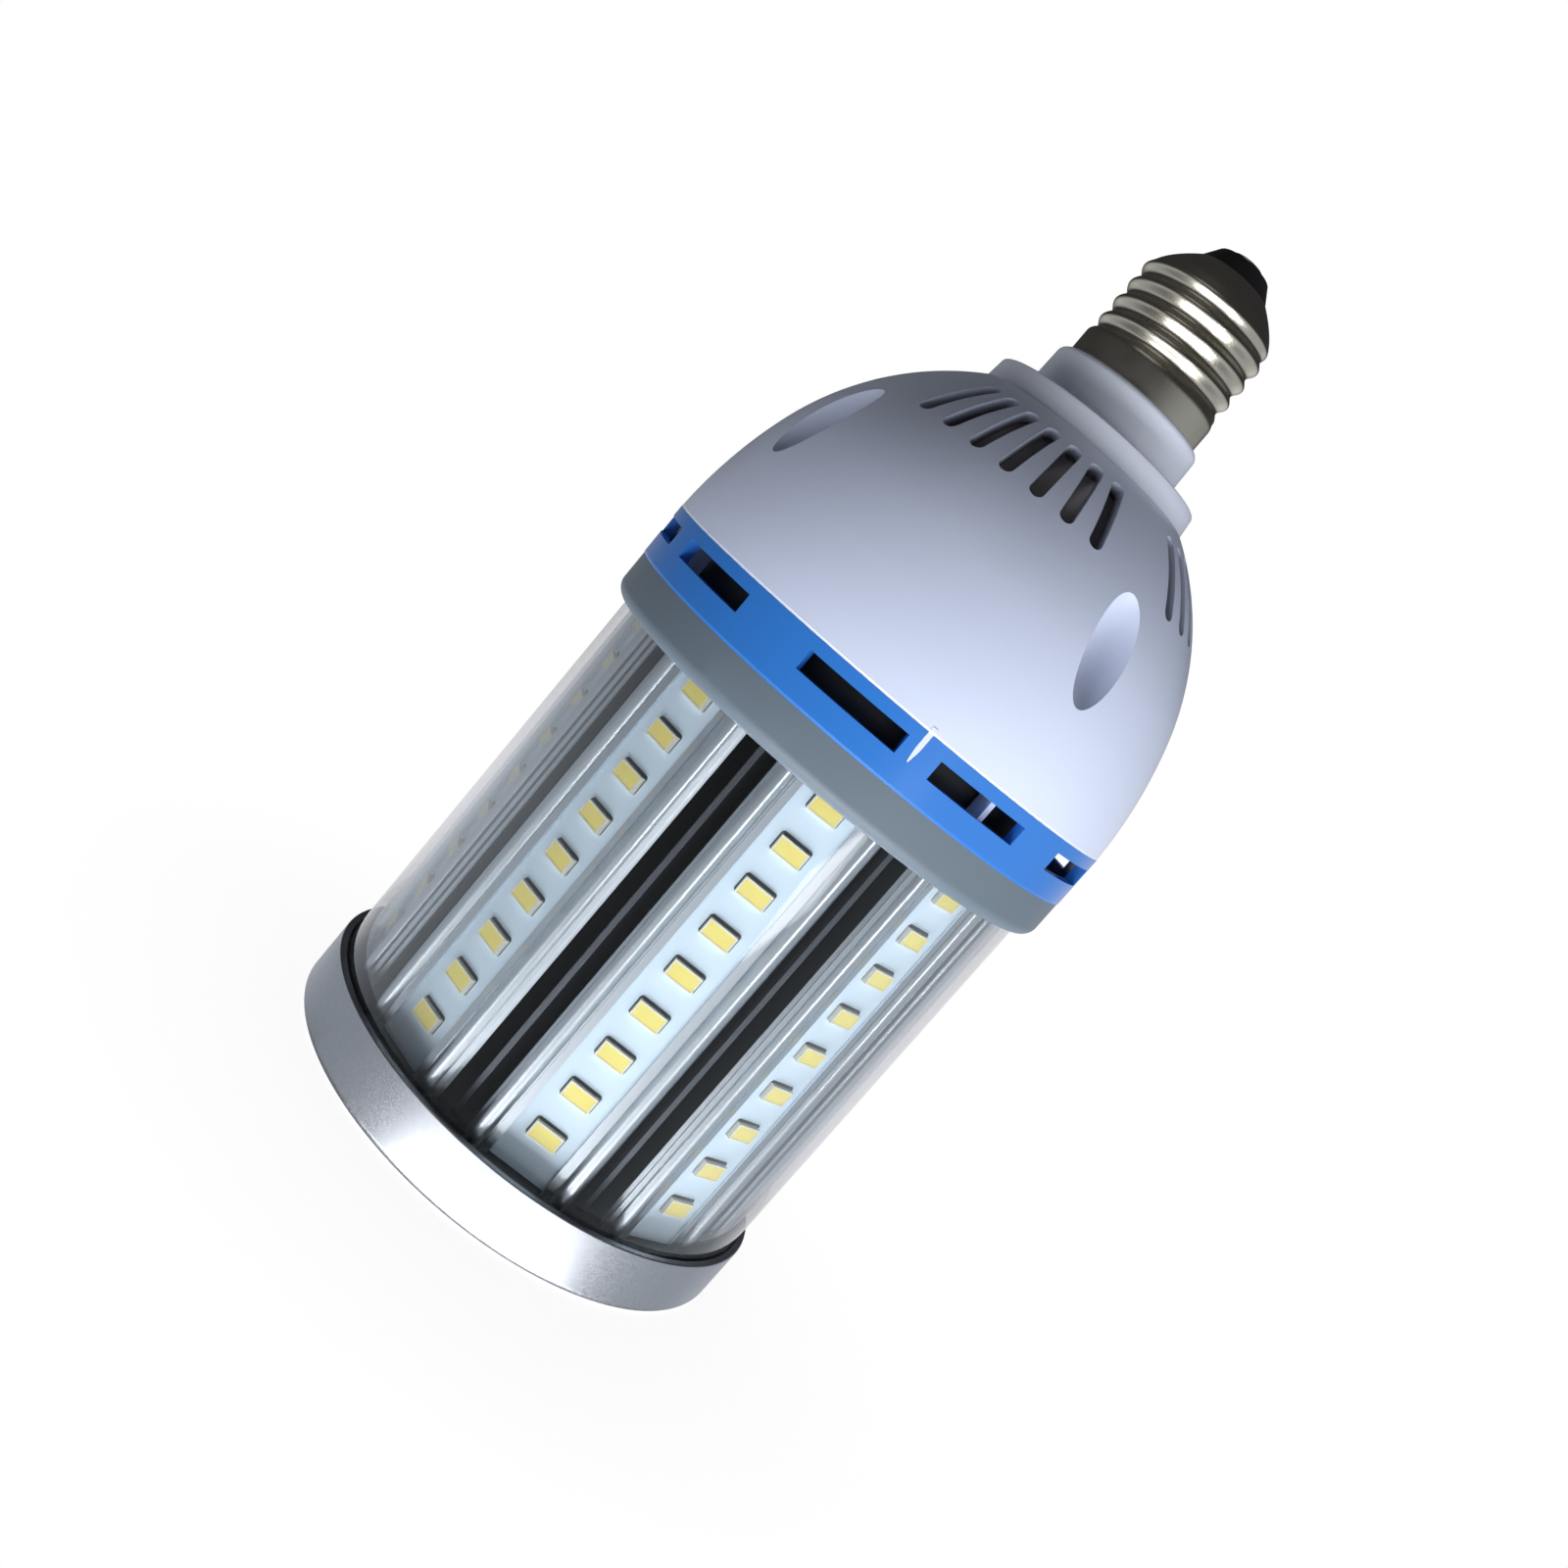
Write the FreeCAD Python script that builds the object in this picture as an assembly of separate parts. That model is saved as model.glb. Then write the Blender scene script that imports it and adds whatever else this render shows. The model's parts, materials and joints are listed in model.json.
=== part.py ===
import FreeCAD, Part
import math
import os

# A corn LED bulb standing on its end cap, screw cap up. Millimetres, +Z up,
# origin in the middle of the end cap's flat face. The front is -Y, and an
# azimuth is measured from the front towards +X.

# Clear cover: a plain tube, whose radius the other round parts follow
COVER_R = 43.3
COVER_WALL = 1.5
COVER_GAP = 0.2
COVER_FOOT = 8.0

# End cap: a turned aluminium cup that stands out past the cover
CAP_OUTSET = 1.5
CAP_R = COVER_R + CAP_OUTSET
CAP_HEIGHT = 11.0
CAP_WALL = 1.2
CAP_FLOOR = 1.6
CAP_EDGE_R = 1.5
CAP_VENT_R = 2.5

# Seat ring: the black moulding that the tube and the heatsink stand on
SEAT_TOP = 9.8
SEAT_PLATE = 2.0
SEAT_WALL = 2.0
SEAT_BORE_R = 9.0

# Grey ring and the chassis plate that is one piece with it
GREY_OUTSET = 2.8
GREY_R = COVER_R + GREY_OUTSET
GREY_BOTTOM = 85.6
GREY_HEIGHT = 7.9
GREY_EDGE_R = 2.4
CHASSIS_PLATE = 2.3
CHASSIS_BORE_R = 10.5
CHASSIS_VENT_R = 3.6
PLATE_SPACER = 2.6
SPACER_R = 3.6

# Blue ring with its row of vents
BLUE_OUTSET = 0.1
BLUE_R = GREY_R + BLUE_OUTSET
BLUE_HEIGHT = 9.7
BLUE_WALL = 2.0
BLUE_VENT_HEIGHT = 3.4
BLUE_VENT_RISE = 4.2
BLUE_VENT_ANGLE = 23.3
BLUE_VENT_CENTRES = (-73.5, -42.9, -2.9, 28.1, 64.6)
SPIGOT_WALL = 1.8
SPIGOT_HEIGHT = 2.2
RING_GAP = 0.15

# Alignment key of the dome, which shows in a notch of the blue ring
KEY_AZIMUTH = 11.6
KEY_WIDTH = 0.9
KEY_TIP_WIDTH = 0.25
KEY_DEPTH = 5.3
KEY_TAPER = 2.3
KEY_GAP = 0.05

# Dome: two tangent arcs turned about the axis
DOME_WALL = 2.0
DOME_ARC_REACH = 34.6
DOME_ARC_STEP = 30.4
DOME_LOW_R = BLUE_R + DOME_ARC_REACH
DOME_HIGH_R = DOME_LOW_R - DOME_ARC_STEP
DOME_LOW_ANGLE = 18.1
DOME_LOW_DROP = 2.8
DOME_CROWN = 1.4
DOME_HEIGHT = DOME_HIGH_R - DOME_CROWN
DOME_MOUTH_R = 17.9
DOME_RIB = 1.0

# Vents under the flange, in groups, with a finger scoop between two groups
GROUPS = 4
GROUP_AZIMUTH = -12.9
GROUP_VENTS = 7
VENT_PITCH = 9.7
VENT_WIDTH = 2.6
VENT_DROP = 2.4
VENT_LENGTH = 10.8
VENT_TOP = DOME_HEIGHT - VENT_DROP
VENT_BOTTOM = VENT_TOP - VENT_LENGTH
SCOOP_RADIAL = 9.1
SCOOP_ACROSS = 5.4
SCOOP_UP = 15.4
SCOOP_INSET = 1.2
SCOOP_DROP = 17.4
SCOOP_CENTRE_R = BLUE_R - SCOOP_INSET
SCOOP_CENTRE_RISE = DOME_HEIGHT - SCOOP_DROP

# Base adapter: flange, neck and the threaded core inside the screw shell
FLANGE_R = 21.2
FLANGE_TOP_R = 20.7
FLANGE_HEIGHT = 4.1
NECK_R = 15.1
NECK_TOP_R = 14.8
NECK_HEIGHT = 8.1
NECK_EDGE_R = 1.2
ADAPTER_WALL = 2.2
ADAPTER_SPIGOT = 4.0
CORE_R = 11.4
CORE_BORE_R = 9.2
CORE_HEIGHT = 17.6

# Screw shell: E27 knuckle thread rolled in thin sheet
SHELL_SHEET = 0.35
SKIRT_R = 13.3
SKIRT_HEIGHT = 4.9
THREAD_MAJOR_R = 13.1
THREAD_MINOR_R = 12.13
THREAD_PITCH = 3.63
THREAD_TURN_SHIFT = -0.09
THREAD_TOP = 19.0
SHELL_HEIGHT = 25.2
SHELL_HOLE_R = 7.3
SHELL_SPANS = 48
SHELL_COLUMNS = 16

# Insulator and contact at the tip
INSULATOR_TOP_R = 5.0
INSULATOR_HEIGHT = 3.2
INSULATOR_STEM = 3.4
CONTACT_R = 3.3
CONTACT_HEIGHT = 0.8
CONTACT_PIN_R = 1.1

# LED columns
COLUMNS = 9
COLUMN_AZIMUTH = 7.6
LEDS = 9
LED_PITCH = 8.3
LED_FIRST = 17.7
LED_LENGTH = 5.3
LED_WIDTH = 3.0
LED_RISE = 0.9
LED_CUP_MARGIN = 0.28
LED_CUP_DEPTH = 0.4
PHOSPHOR_SINK = 0.05
BOARD_CLEARANCE = 2.85
BOARD_FACE = COVER_R - COVER_WALL - BOARD_CLEARANCE
BOARD_WIDTH = 11.4
BOARD_THICK = 1.0
BOARD_END_GAP = 0.5
BOARD_FIT = 0.1
WINDOW_MARGIN = 0.3
WINDOW_TOP_MARGIN = 0.6
WINDOW_DEPTH = 0.15
WINDOW_CORNER = 0.35

# Heatsink extrusion
HUB_BORE_R = 9.0
HUB_WALL = 2.6
WEB = 2.2
PLATFORM = 1.75
LIP_OVER = 0.45
LIP_THICK = 0.45
LIP_WIDTH = 1.25
GROOVE = 0.4
BEAD_WIDTH = 2.9
BEAD_RISE = 0.85
FLANK_DROP = 2.3
FLANK_RIB = 0.28
FIN = 1.0
FIN_INSET = 1.55
FIN_TIP_R = BOARD_FACE - FIN_INSET
FIN_RIB = 0.35
FIN_RIBS = 5
FIN_RIB_PITCH = 1.6
PORT_R = 1.3
PORT_WALL = 1.7
PORT_CIRCLE_R = 17.5
PORTS = 3

# Screws
SCREW_R = 1.2
SCREW_HEAD_R = 2.6
SCREW_HEAD = 1.5
SCREW_LENGTH = 12.0
SCREW_HOLE_GAP = 0.25
CROSS_WIDTH = 0.6
CROSS_DEPTH = 0.9
POST_R = 2.9
POST_INSET = 11.2
POST_CIRCLE_R = BLUE_R - POST_INSET

# Driver in the dome
DRIVER_INSET = 7.0
DRIVER_R = POST_CIRCLE_R - DRIVER_INSET
DRIVER_THICK = 1.6
DRIVER_RISE = 18.0
STANDOFF_R = 2.4
STANDOFF_INSET = 5.0
STANDOFF_CIRCLE_R = DRIVER_R - STANDOFF_INSET
LEAD_R = 0.5
LEAD_RUN = 8.0
LEAD_SWAY = 1.5
GASKET_THICK = 1.0
SLEEVE_WALL = 1.2
SLEEVE_HEIGHT = 10.5
BOARD_SCREW_LENGTH = 6.0
STANDOFF_BORE = 8.0
LEAD_HOLE_R = 5.0

# Driver components: sizes, and places on the board as x and y
CORE_WIDTH = 20.0
CORE_DEPTH = 11.0
CORE_TALL = 17.0
CORE_WINDOW_WIDTH = 13.0
CORE_YOKE = 2.5
CORE_LEG_R = 3.2
CORE_PLACE = (-11.0, 3.0)
WINDING_R = 6.2
WINDING_GAP = 0.2
INPUT_CAN_R = 6.3
INPUT_CAN_HEIGHT = 20.0
INPUT_CAN_PLACE = (12.0, 5.0)
OUTPUT_CAN_R = 5.0
OUTPUT_CAN_HEIGHT = 16.0
OUTPUT_CAN_PLACE = (-8.0, 18.5)
CAN_GROOVE_R = 0.6
CAN_GROOVE_DEPTH = 0.35
CAN_GROOVE_RISE = 2.2
CHOKE_R = 4.5
CHOKE_DRUM_R = 3.7
CHOKE_FLANGE = 1.6
CHOKE_HEIGHT = 10.0
CHOKE_PLACE = (8.0, 19.0)
FILM_WIDTH = 13.0
FILM_DEPTH = 5.0
FILM_HEIGHT = 9.5
FILM_EDGE_R = 0.8
FILM_PLACE = (8.0, -15.5)
VARISTOR_R = 4.2
VARISTOR_THICK = 3.0
VARISTOR_RISE = 4.6
VARISTOR_PLACE = (-8.0, -13.5)
LEG_R = 0.4
VARISTOR_LEG_SPREAD = 2.5
BRIDGE_WIDTH = 8.0
BRIDGE_DEPTH = 6.4
BRIDGE_HEIGHT = 2.6
BRIDGE_CHAMFER = 0.4
BRIDGE_PLACE = (19.0, -8.5)
CHIP_WIDTH = 5.0
CHIP_DEPTH = 4.0
CHIP_HEIGHT = 1.5
CHIP_CHAMFER = 0.3
CHIP_PLACE = (-19.5, -8.0)
FUSE_R = 1.9
FUSE_LENGTH = 8.0
FUSE_RISE = 2.2
FUSE_EDGE_R = 0.7
FUSE_LEG_SPREAD = 2.4
FUSE_PLACE = (-24.0, 1.0)

# Heights that follow from the sizes above
GREY_TOP = GREY_BOTTOM + GREY_HEIGHT
PLATE_BOTTOM = GREY_TOP - CHASSIS_PLATE
HEATSINK_TOP = PLATE_BOTTOM - PLATE_SPACER
COVER_TOP = PLATE_BOTTOM - GASKET_THICK
BLUE_TOP = GREY_TOP + BLUE_HEIGHT
DOME_TOP = BLUE_TOP + DOME_HEIGHT
FLANGE_TOP = DOME_TOP + FLANGE_HEIGHT
NECK_TOP = FLANGE_TOP + NECK_HEIGHT
SHELL_TOP = NECK_TOP + SHELL_HEIGHT
TIP = SHELL_TOP + INSULATOR_HEIGHT
DRIVER_BOTTOM = GREY_TOP + DRIVER_RISE
DRIVER_TOP = DRIVER_BOTTOM + DRIVER_THICK
COVER_BORE_R = COVER_R - COVER_WALL
RING_BORE_R = BLUE_R - BLUE_WALL
SPIGOT_R = RING_BORE_R - RING_GAP
SCREW_HOLE_R = SCREW_R + SCREW_HOLE_GAP
BOARD_BACK = BOARD_FACE - BOARD_THICK
LED_BASE = BOARD_FACE - WINDOW_DEPTH
LED_FACE = BOARD_FACE + LED_RISE
COLUMN_STEP = 360.0 / COLUMNS
SCOOP_AZIMUTH = GROUP_AZIMUTH + 180.0 / GROUPS

AXIS = FreeCAD.Vector(0, 0, 1)
ORIGIN = FreeCAD.Vector(0, 0, 0)


def at(radius, height, across=0.0):
    """A point in front of the axis: radius outwards, across to the right."""
    return FreeCAD.Vector(across, -radius, height)


def turned(shape, azimuth):
    copy = shape.copy()
    copy.rotate(ORIGIN, AXIS, azimuth)
    return copy


def around(shape, count, first=0.0):
    return [turned(shape, first + 360.0 * step / count) for step in range(count)]


def cylinder(radius, bottom, top, centre_r=0.0):
    return Part.makeCylinder(radius, top - bottom, at(centre_r, bottom))


def tube(bore, radius, bottom, top):
    return cylinder(radius, bottom, top).cut(cylinder(bore, bottom, top))


def revolved(edges):
    """Turn a closed outline, drawn in front of the axis, through a full circle."""
    face = Part.Face(Part.Wire(Part.__sortEdges__(edges)))
    return face.revolve(ORIGIN, AXIS, 360.0)


def outline(points):
    """Straight edges round a list of (radius, height) corners."""
    corners = [at(radius, height) for radius, height in points]
    corners.append(corners[0])
    return Part.makePolygon(corners).Edges


def turned_profile(points):
    return revolved(outline(points))


def box(width, depth, height, centre, bottom):
    corner = FreeCAD.Vector(centre[0] - width / 2, centre[1] - depth / 2, bottom)
    return Part.makeBox(width, depth, height, corner)


def prism(points, bottom, top):
    """Extrude a flat outline of (across, radius) corners upwards."""
    corners = [at(radius, bottom, across) for across, radius in points]
    corners.append(corners[0])
    face = Part.Face(Part.makePolygon(corners))
    return face.extrude(FreeCAD.Vector(0, 0, top - bottom))


def round_edges(shape, radius, edge_r, height):
    """Fillet the full circles of one radius at one height."""
    picked = []
    for edge in shape.Edges:
        curve = edge.Curve
        if isinstance(curve, Part.Circle) and abs(curve.Radius - edge_r) < 1e-4:
            if abs(curve.Center.z - height) < 1e-4:
                picked.append(edge)
    return shape.makeFillet(radius, picked)


def save(name, solids):
    """Write one node: a solid, or a group of separate solids."""
    whole = solids if not isinstance(solids, list) else Part.makeCompound(solids)
    whole.exportStep("parts/" + name + ".step")


# End cap and seat ring

def end_cap():
    bore = CAP_R - CAP_WALL
    cup = cylinder(CAP_R, 0.0, CAP_HEIGHT).cut(cylinder(bore, CAP_FLOOR, CAP_HEIGHT))
    cup = round_edges(cup, CAP_EDGE_R, CAP_R, 0.0)
    cup = round_edges(cup, CAP_WALL / 4, CAP_R, CAP_HEIGHT)
    vent = cylinder(CAP_VENT_R, -1.0, CAP_FLOOR + 1.0, channel_r())
    hole = screw_body(SCREW_HOLE_GAP).copy()
    hole.translate(FreeCAD.Vector(0, -PORT_CIRCLE_R, 0))
    tools = around(vent, COLUMNS, channel_azimuth()) + around(hole, PORTS, COLUMN_AZIMUTH)
    return cup.cut(tools)


def channel_azimuth():
    return COLUMN_AZIMUTH + COLUMN_STEP / 2


def channel_r():
    """Circle of the air holes, over the middle of each heatsink channel."""
    return (HUB_BORE_R + HUB_WALL + FIN_TIP_R) / 2 + COVER_GAP


def seat_ring():
    rim = CAP_R - CAP_WALL - RING_GAP
    foot_r = COVER_BORE_R - COVER_GAP
    plate_under = SEAT_TOP - SEAT_PLATE
    hub = SEAT_BORE_R + SEAT_WALL
    skirt = rim - SEAT_WALL
    ring = turned_profile([
        (SEAT_BORE_R, CAP_FLOOR), (hub, CAP_FLOOR), (hub, plate_under),
        (skirt, plate_under), (skirt, CAP_FLOOR), (rim, CAP_FLOOR),
        (rim, COVER_FOOT), (foot_r, COVER_FOOT), (foot_r, SEAT_TOP),
        (SEAT_BORE_R, SEAT_TOP)])
    boss = cylinder(SPACER_R, CAP_FLOOR, SEAT_TOP, PORT_CIRCLE_R)
    ring = ring.fuse(around(boss, PORTS, COLUMN_AZIMUTH))
    bolt = cylinder(SCREW_HOLE_R, 0.0, SEAT_TOP + 1.0, PORT_CIRCLE_R)
    vent = cylinder(CAP_VENT_R, 0.0, SEAT_TOP + 1.0, channel_r())
    tools = around(bolt, PORTS, COLUMN_AZIMUTH) + around(vent, COLUMNS, channel_azimuth())
    return ring.cut(tools).removeSplitter()


def screw_body(gap=0.0):
    """Countersunk screw, head down, its flat head in the plane z = 0."""
    slope = SCREW_HEAD
    points = [(0.0, 0.0), (SCREW_HEAD_R + gap, 0.0), (SCREW_R + gap, slope),
              (SCREW_R + gap, SCREW_LENGTH), (0.0, SCREW_LENGTH)]
    return turned_profile(points)


def cross_recess():
    long_side = SCREW_HEAD_R * 1.2
    first = box(long_side, CROSS_WIDTH, CROSS_DEPTH, (0, 0), 0.0)
    second = box(CROSS_WIDTH, long_side, CROSS_DEPTH, (0, 0), 0.0)
    return first.fuse(second)


def screws(circle_r, count, first, height, head_up=False):
    screw = screw_body().cut(cross_recess())
    if head_up:
        screw.rotate(ORIGIN, FreeCAD.Vector(1, 0, 0), 180)
    screw.translate(FreeCAD.Vector(0, -circle_r, height))
    return around(screw, count, first)


# LED columns

def led_board():
    half = BOARD_WIDTH / 2
    bottom = SEAT_TOP + BOARD_END_GAP
    top = HEATSINK_TOP - BOARD_END_GAP
    board = prism([(-half, BOARD_BACK), (half, BOARD_BACK), (half, BOARD_FACE),
                   (-half, BOARD_FACE)], bottom, top)
    return board.cut([led_window(z) for z in led_heights()])


def led_heights():
    return [LED_FIRST + LED_PITCH * row for row in range(LEDS)]


def led_window(height):
    """Opening in the white top layer, with its corners cut off."""
    half = LED_LENGTH / 2 + WINDOW_MARGIN
    low = height - LED_WIDTH / 2 - WINDOW_MARGIN / 4
    high = height + LED_WIDTH / 2 + WINDOW_TOP_MARGIN
    cut = WINDOW_CORNER
    corners = [(-half + cut, low), (half - cut, low), (half, low + cut), (half, high - cut),
               (half - cut, high), (-half + cut, high), (-half, high - cut), (-half, low + cut)]
    points = [at(LED_BASE, z, across) for across, z in corners]
    points.append(points[0])
    face = Part.Face(Part.makePolygon(points))
    return face.extrude(FreeCAD.Vector(0, -WINDOW_DEPTH * 2, 0))


def led_block(margin, inner, outer, height):
    """A block centred on one LED, between two distances from the axis."""
    width = LED_LENGTH - 2 * margin
    tall = LED_WIDTH - 2 * margin
    centre = (0, -(inner + outer) / 2)
    return box(width, outer - inner, tall, centre, height - tall / 2)


def led_package(height):
    body = led_block(0.0, LED_BASE, LED_FACE, height)
    cup = led_block(LED_CUP_MARGIN, LED_FACE - LED_CUP_DEPTH, LED_FACE + 1.0, height)
    return body.cut(cup)


def led_phosphor(height):
    outer = LED_FACE - PHOSPHOR_SINK
    return led_block(LED_CUP_MARGIN, LED_FACE - LED_CUP_DEPTH, outer, height)


# Heatsink: one extruded profile

def rail_points():
    """Right half of one column, from the board's seat out and under the platform."""
    seat = BOARD_BACK
    slot_x = BOARD_WIDTH / 2 + BOARD_FIT
    slot_top = BOARD_FACE + BOARD_FIT / 2
    lip_x = slot_x - LIP_OVER - BOARD_FIT
    lip_top = slot_top + LIP_THICK
    lip_end = lip_x + LIP_WIDTH
    bead_x = lip_end + GROOVE
    bead_end = bead_x + BEAD_WIDTH
    flank_y = lip_top - GROOVE / 2
    step = FLANK_DROP / 4
    under = BOARD_BACK - PLATFORM
    return {
        "seat": [(0.0, seat), (slot_x, seat), (slot_x, slot_top), (lip_x, slot_top),
                 (lip_x, lip_top), (lip_end, lip_top), (lip_end, lip_top - GROOVE),
                 (bead_x, lip_top - GROOVE), (bead_x, lip_top)],
        "bead": (bead_x + BEAD_WIDTH / 2, lip_top + BEAD_RISE),
        "flank": [(bead_end, flank_y), (bead_end - FLANK_RIB, flank_y - step),
                  (bead_end + FLANK_RIB, flank_y - 2 * step),
                  (bead_end - FLANK_RIB / 2, flank_y - 3 * step),
                  (bead_end + FLANK_RIB, flank_y - 4 * step),
                  (bead_end - PLATFORM / 2, under), (WEB / 2, under)],
    }


def column_face():
    """Outline of one column with its web, drawn at z = 0 in front of the axis."""
    rail = rail_points()
    root = HUB_BORE_R + HUB_WALL / 2
    right = [at(y, 0, x) for x, y in rail["seat"]]
    left = [at(y, 0, -x) for x, y in rail["seat"]]
    bead_x, bead_y = rail["bead"]
    flank_right = [at(y, 0, x) for x, y in rail["flank"]]
    flank_left = [at(y, 0, -x) for x, y in rail["flank"]]
    foot_right = at(root, 0, WEB / 2)
    foot_left = at(root, 0, -WEB / 2)
    edges = Part.makePolygon(right).Edges + Part.makePolygon(left).Edges
    edges.append(Part.Arc(right[-1], at(bead_y, 0, bead_x), flank_right[0]).toShape())
    edges.append(Part.Arc(left[-1], at(bead_y, 0, -bead_x), flank_left[0]).toShape())
    edges += Part.makePolygon(flank_right + [foot_right]).Edges
    edges += Part.makePolygon(flank_left + [foot_left]).Edges
    edges.append(Part.makeLine(foot_right, foot_left))
    return Part.Face(Part.Wire(Part.__sortEdges__(edges)))


def fin_face():
    """Radial fin with a ribbed face on each side, which stands in a channel."""
    root = HUB_BORE_R + HUB_WALL / 2
    half = FIN / 2
    side = [(half, root)]
    first = FIN_TIP_R - FIN_RIBS * FIN_RIB_PITCH
    for rib in range(FIN_RIBS):
        low = first + rib * FIN_RIB_PITCH
        side += [(half, low), (half + FIN_RIB, low + FIN_RIB_PITCH / 2)]
    side.append((half, FIN_TIP_R))
    points = side + [(-x, y) for x, y in reversed(side)]
    corners = [at(y, 0, x) for x, y in points]
    corners.append(corners[0])
    return Part.Face(Part.makePolygon(corners))


def heatsink():
    up = FreeCAD.Vector(0, 0, HEATSINK_TOP - SEAT_TOP)
    faces = around(column_face(), COLUMNS, COLUMN_AZIMUTH)
    faces += around(fin_face(), COLUMNS, channel_azimuth())
    pieces = [face.extrude(up) for face in faces]
    for piece in pieces:
        piece.translate(FreeCAD.Vector(0, 0, SEAT_TOP))
    port = cylinder(PORT_R + PORT_WALL, SEAT_TOP, HEATSINK_TOP, PORT_CIRCLE_R)
    pieces += around(port, PORTS, COLUMN_AZIMUTH)
    hole = cylinder(PORT_R, SEAT_TOP, HEATSINK_TOP, PORT_CIRCLE_R)
    bore = cylinder(HUB_BORE_R, SEAT_TOP, HEATSINK_TOP)
    hub = cylinder(HUB_BORE_R + HUB_WALL, SEAT_TOP, HEATSINK_TOP)
    body = hub.fuse(pieces).removeSplitter()
    return body.cut([bore] + around(hole, PORTS, COLUMN_AZIMUTH))


# Rings above the cover

def grey_ring():
    bore = COVER_R + COVER_GAP
    spigot_top = GREY_TOP + SPIGOT_HEIGHT
    ring = turned_profile([
        (CHASSIS_BORE_R, PLATE_BOTTOM), (bore, PLATE_BOTTOM), (bore, GREY_BOTTOM),
        (GREY_R, GREY_BOTTOM), (GREY_R, GREY_TOP), (SPIGOT_R, GREY_TOP),
        (SPIGOT_R, spigot_top), (SPIGOT_R - SPIGOT_WALL, spigot_top),
        (SPIGOT_R - SPIGOT_WALL, GREY_TOP), (CHASSIS_BORE_R, GREY_TOP)])
    ring = round_edges(ring, GREY_EDGE_R, GREY_R, GREY_BOTTOM)
    spacer = cylinder(SPACER_R, HEATSINK_TOP, PLATE_BOTTOM, PORT_CIRCLE_R)
    ring = ring.fuse(around(spacer, PORTS, COLUMN_AZIMUTH))
    bolt = cylinder(SCREW_HOLE_R, HEATSINK_TOP - 1.0, GREY_TOP + 1.0, PORT_CIRCLE_R)
    sink = screw_body(SCREW_HOLE_GAP)
    sink.translate(FreeCAD.Vector(0, -POST_CIRCLE_R, PLATE_BOTTOM))
    vent = cylinder(CHASSIS_VENT_R, PLATE_BOTTOM - 1.0, GREY_TOP + 1.0, channel_r())
    head = screw_body(SCREW_HOLE_GAP)
    head.rotate(ORIGIN, FreeCAD.Vector(1, 0, 0), 180)
    head.translate(FreeCAD.Vector(0, -PORT_CIRCLE_R, GREY_TOP))
    tools = around(bolt, PORTS, COLUMN_AZIMUTH) + around(head, PORTS, COLUMN_AZIMUTH)
    tools += around(sink, GROUPS, SCOOP_AZIMUTH) + around(vent, COLUMNS, channel_azimuth())
    return ring.cut(tools).removeSplitter()


def blue_vent_ring():
    ring = tube(RING_BORE_R, BLUE_R, GREY_TOP, BLUE_TOP)
    low = GREY_TOP + BLUE_VENT_RISE
    reach = BLUE_WALL * 2
    slot = Part.Face(Part.makePolygon([
        at(RING_BORE_R - reach, low), at(BLUE_R + reach, low),
        at(BLUE_R + reach, low + BLUE_VENT_HEIGHT),
        at(RING_BORE_R - reach, low + BLUE_VENT_HEIGHT), at(RING_BORE_R - reach, low)]))
    slot = slot.revolve(ORIGIN, AXIS, BLUE_VENT_ANGLE)
    slots = []
    for centre in BLUE_VENT_CENTRES:
        for side in (0.0, 180.0):
            slots.append(turned(slot, centre + side - BLUE_VENT_ANGLE / 2))
    return ring.cut(slots + [key_shape(KEY_GAP)])


def key_shape(gap):
    """Tapered key that hangs from the dome's edge, or its notch with a gap."""
    half = KEY_WIDTH / 2 + gap
    tip = KEY_TIP_WIDTH / 2 + gap
    low = BLUE_TOP - KEY_DEPTH - gap
    bend = BLUE_TOP - KEY_DEPTH + KEY_TAPER
    top = BLUE_TOP + DOME_WALL / 2
    points = [(-half, top), (half, top), (half, bend), (tip, low), (-tip, low), (-half, bend)]
    inner = RING_BORE_R - gap * 2
    corners = [at(inner, z, x) for x, z in points]
    corners.append(corners[0])
    wedge = Part.Face(Part.makePolygon(corners)).extrude(FreeCAD.Vector(0, -BLUE_WALL * 2, 0))
    limit = tube(RING_BORE_R - gap * 2, BLUE_R + gap * 4, low, top)
    return turned(wedge.common(limit), KEY_AZIMUTH)


# Dome housing

def dome_edges(inset, bottom):
    """The dome's wall line, inset from the outside, as a solid's outline."""
    low_centre = FreeCAD.Vector(0, DOME_LOW_R - BLUE_R, BLUE_TOP - DOME_LOW_DROP)
    bend = math.radians(DOME_LOW_ANGLE)
    shift = DOME_LOW_R - DOME_HIGH_R
    high_centre = low_centre + FreeCAD.Vector(0, -shift * math.cos(bend), shift * math.sin(bend))
    low_r = DOME_LOW_R - inset
    high_r = DOME_HIGH_R - inset
    top = DOME_TOP - inset

    def on_low(height):
        rise = height - low_centre.z
        return FreeCAD.Vector(0, low_centre.y - math.sqrt(low_r ** 2 - rise ** 2), height)

    def on_high(angle):
        turn = FreeCAD.Vector(0, -high_r * math.cos(angle), high_r * math.sin(angle))
        return high_centre + turn

    end_angle = math.asin((top - high_centre.z) / high_r)
    start = on_low(bottom)
    middle = on_low((bottom + on_high(bend).z) / 2)
    join = on_high(bend)
    crest = on_high((bend + end_angle) / 2)
    end = on_high(end_angle)
    foot = FreeCAD.Vector(0, 0, bottom)
    head = FreeCAD.Vector(0, 0, top)
    return [Part.Arc(start, middle, join).toShape(), Part.Arc(join, crest, end).toShape(),
            Part.makeLine(end, head), Part.makeLine(head, foot), Part.makeLine(foot, start)]


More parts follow.
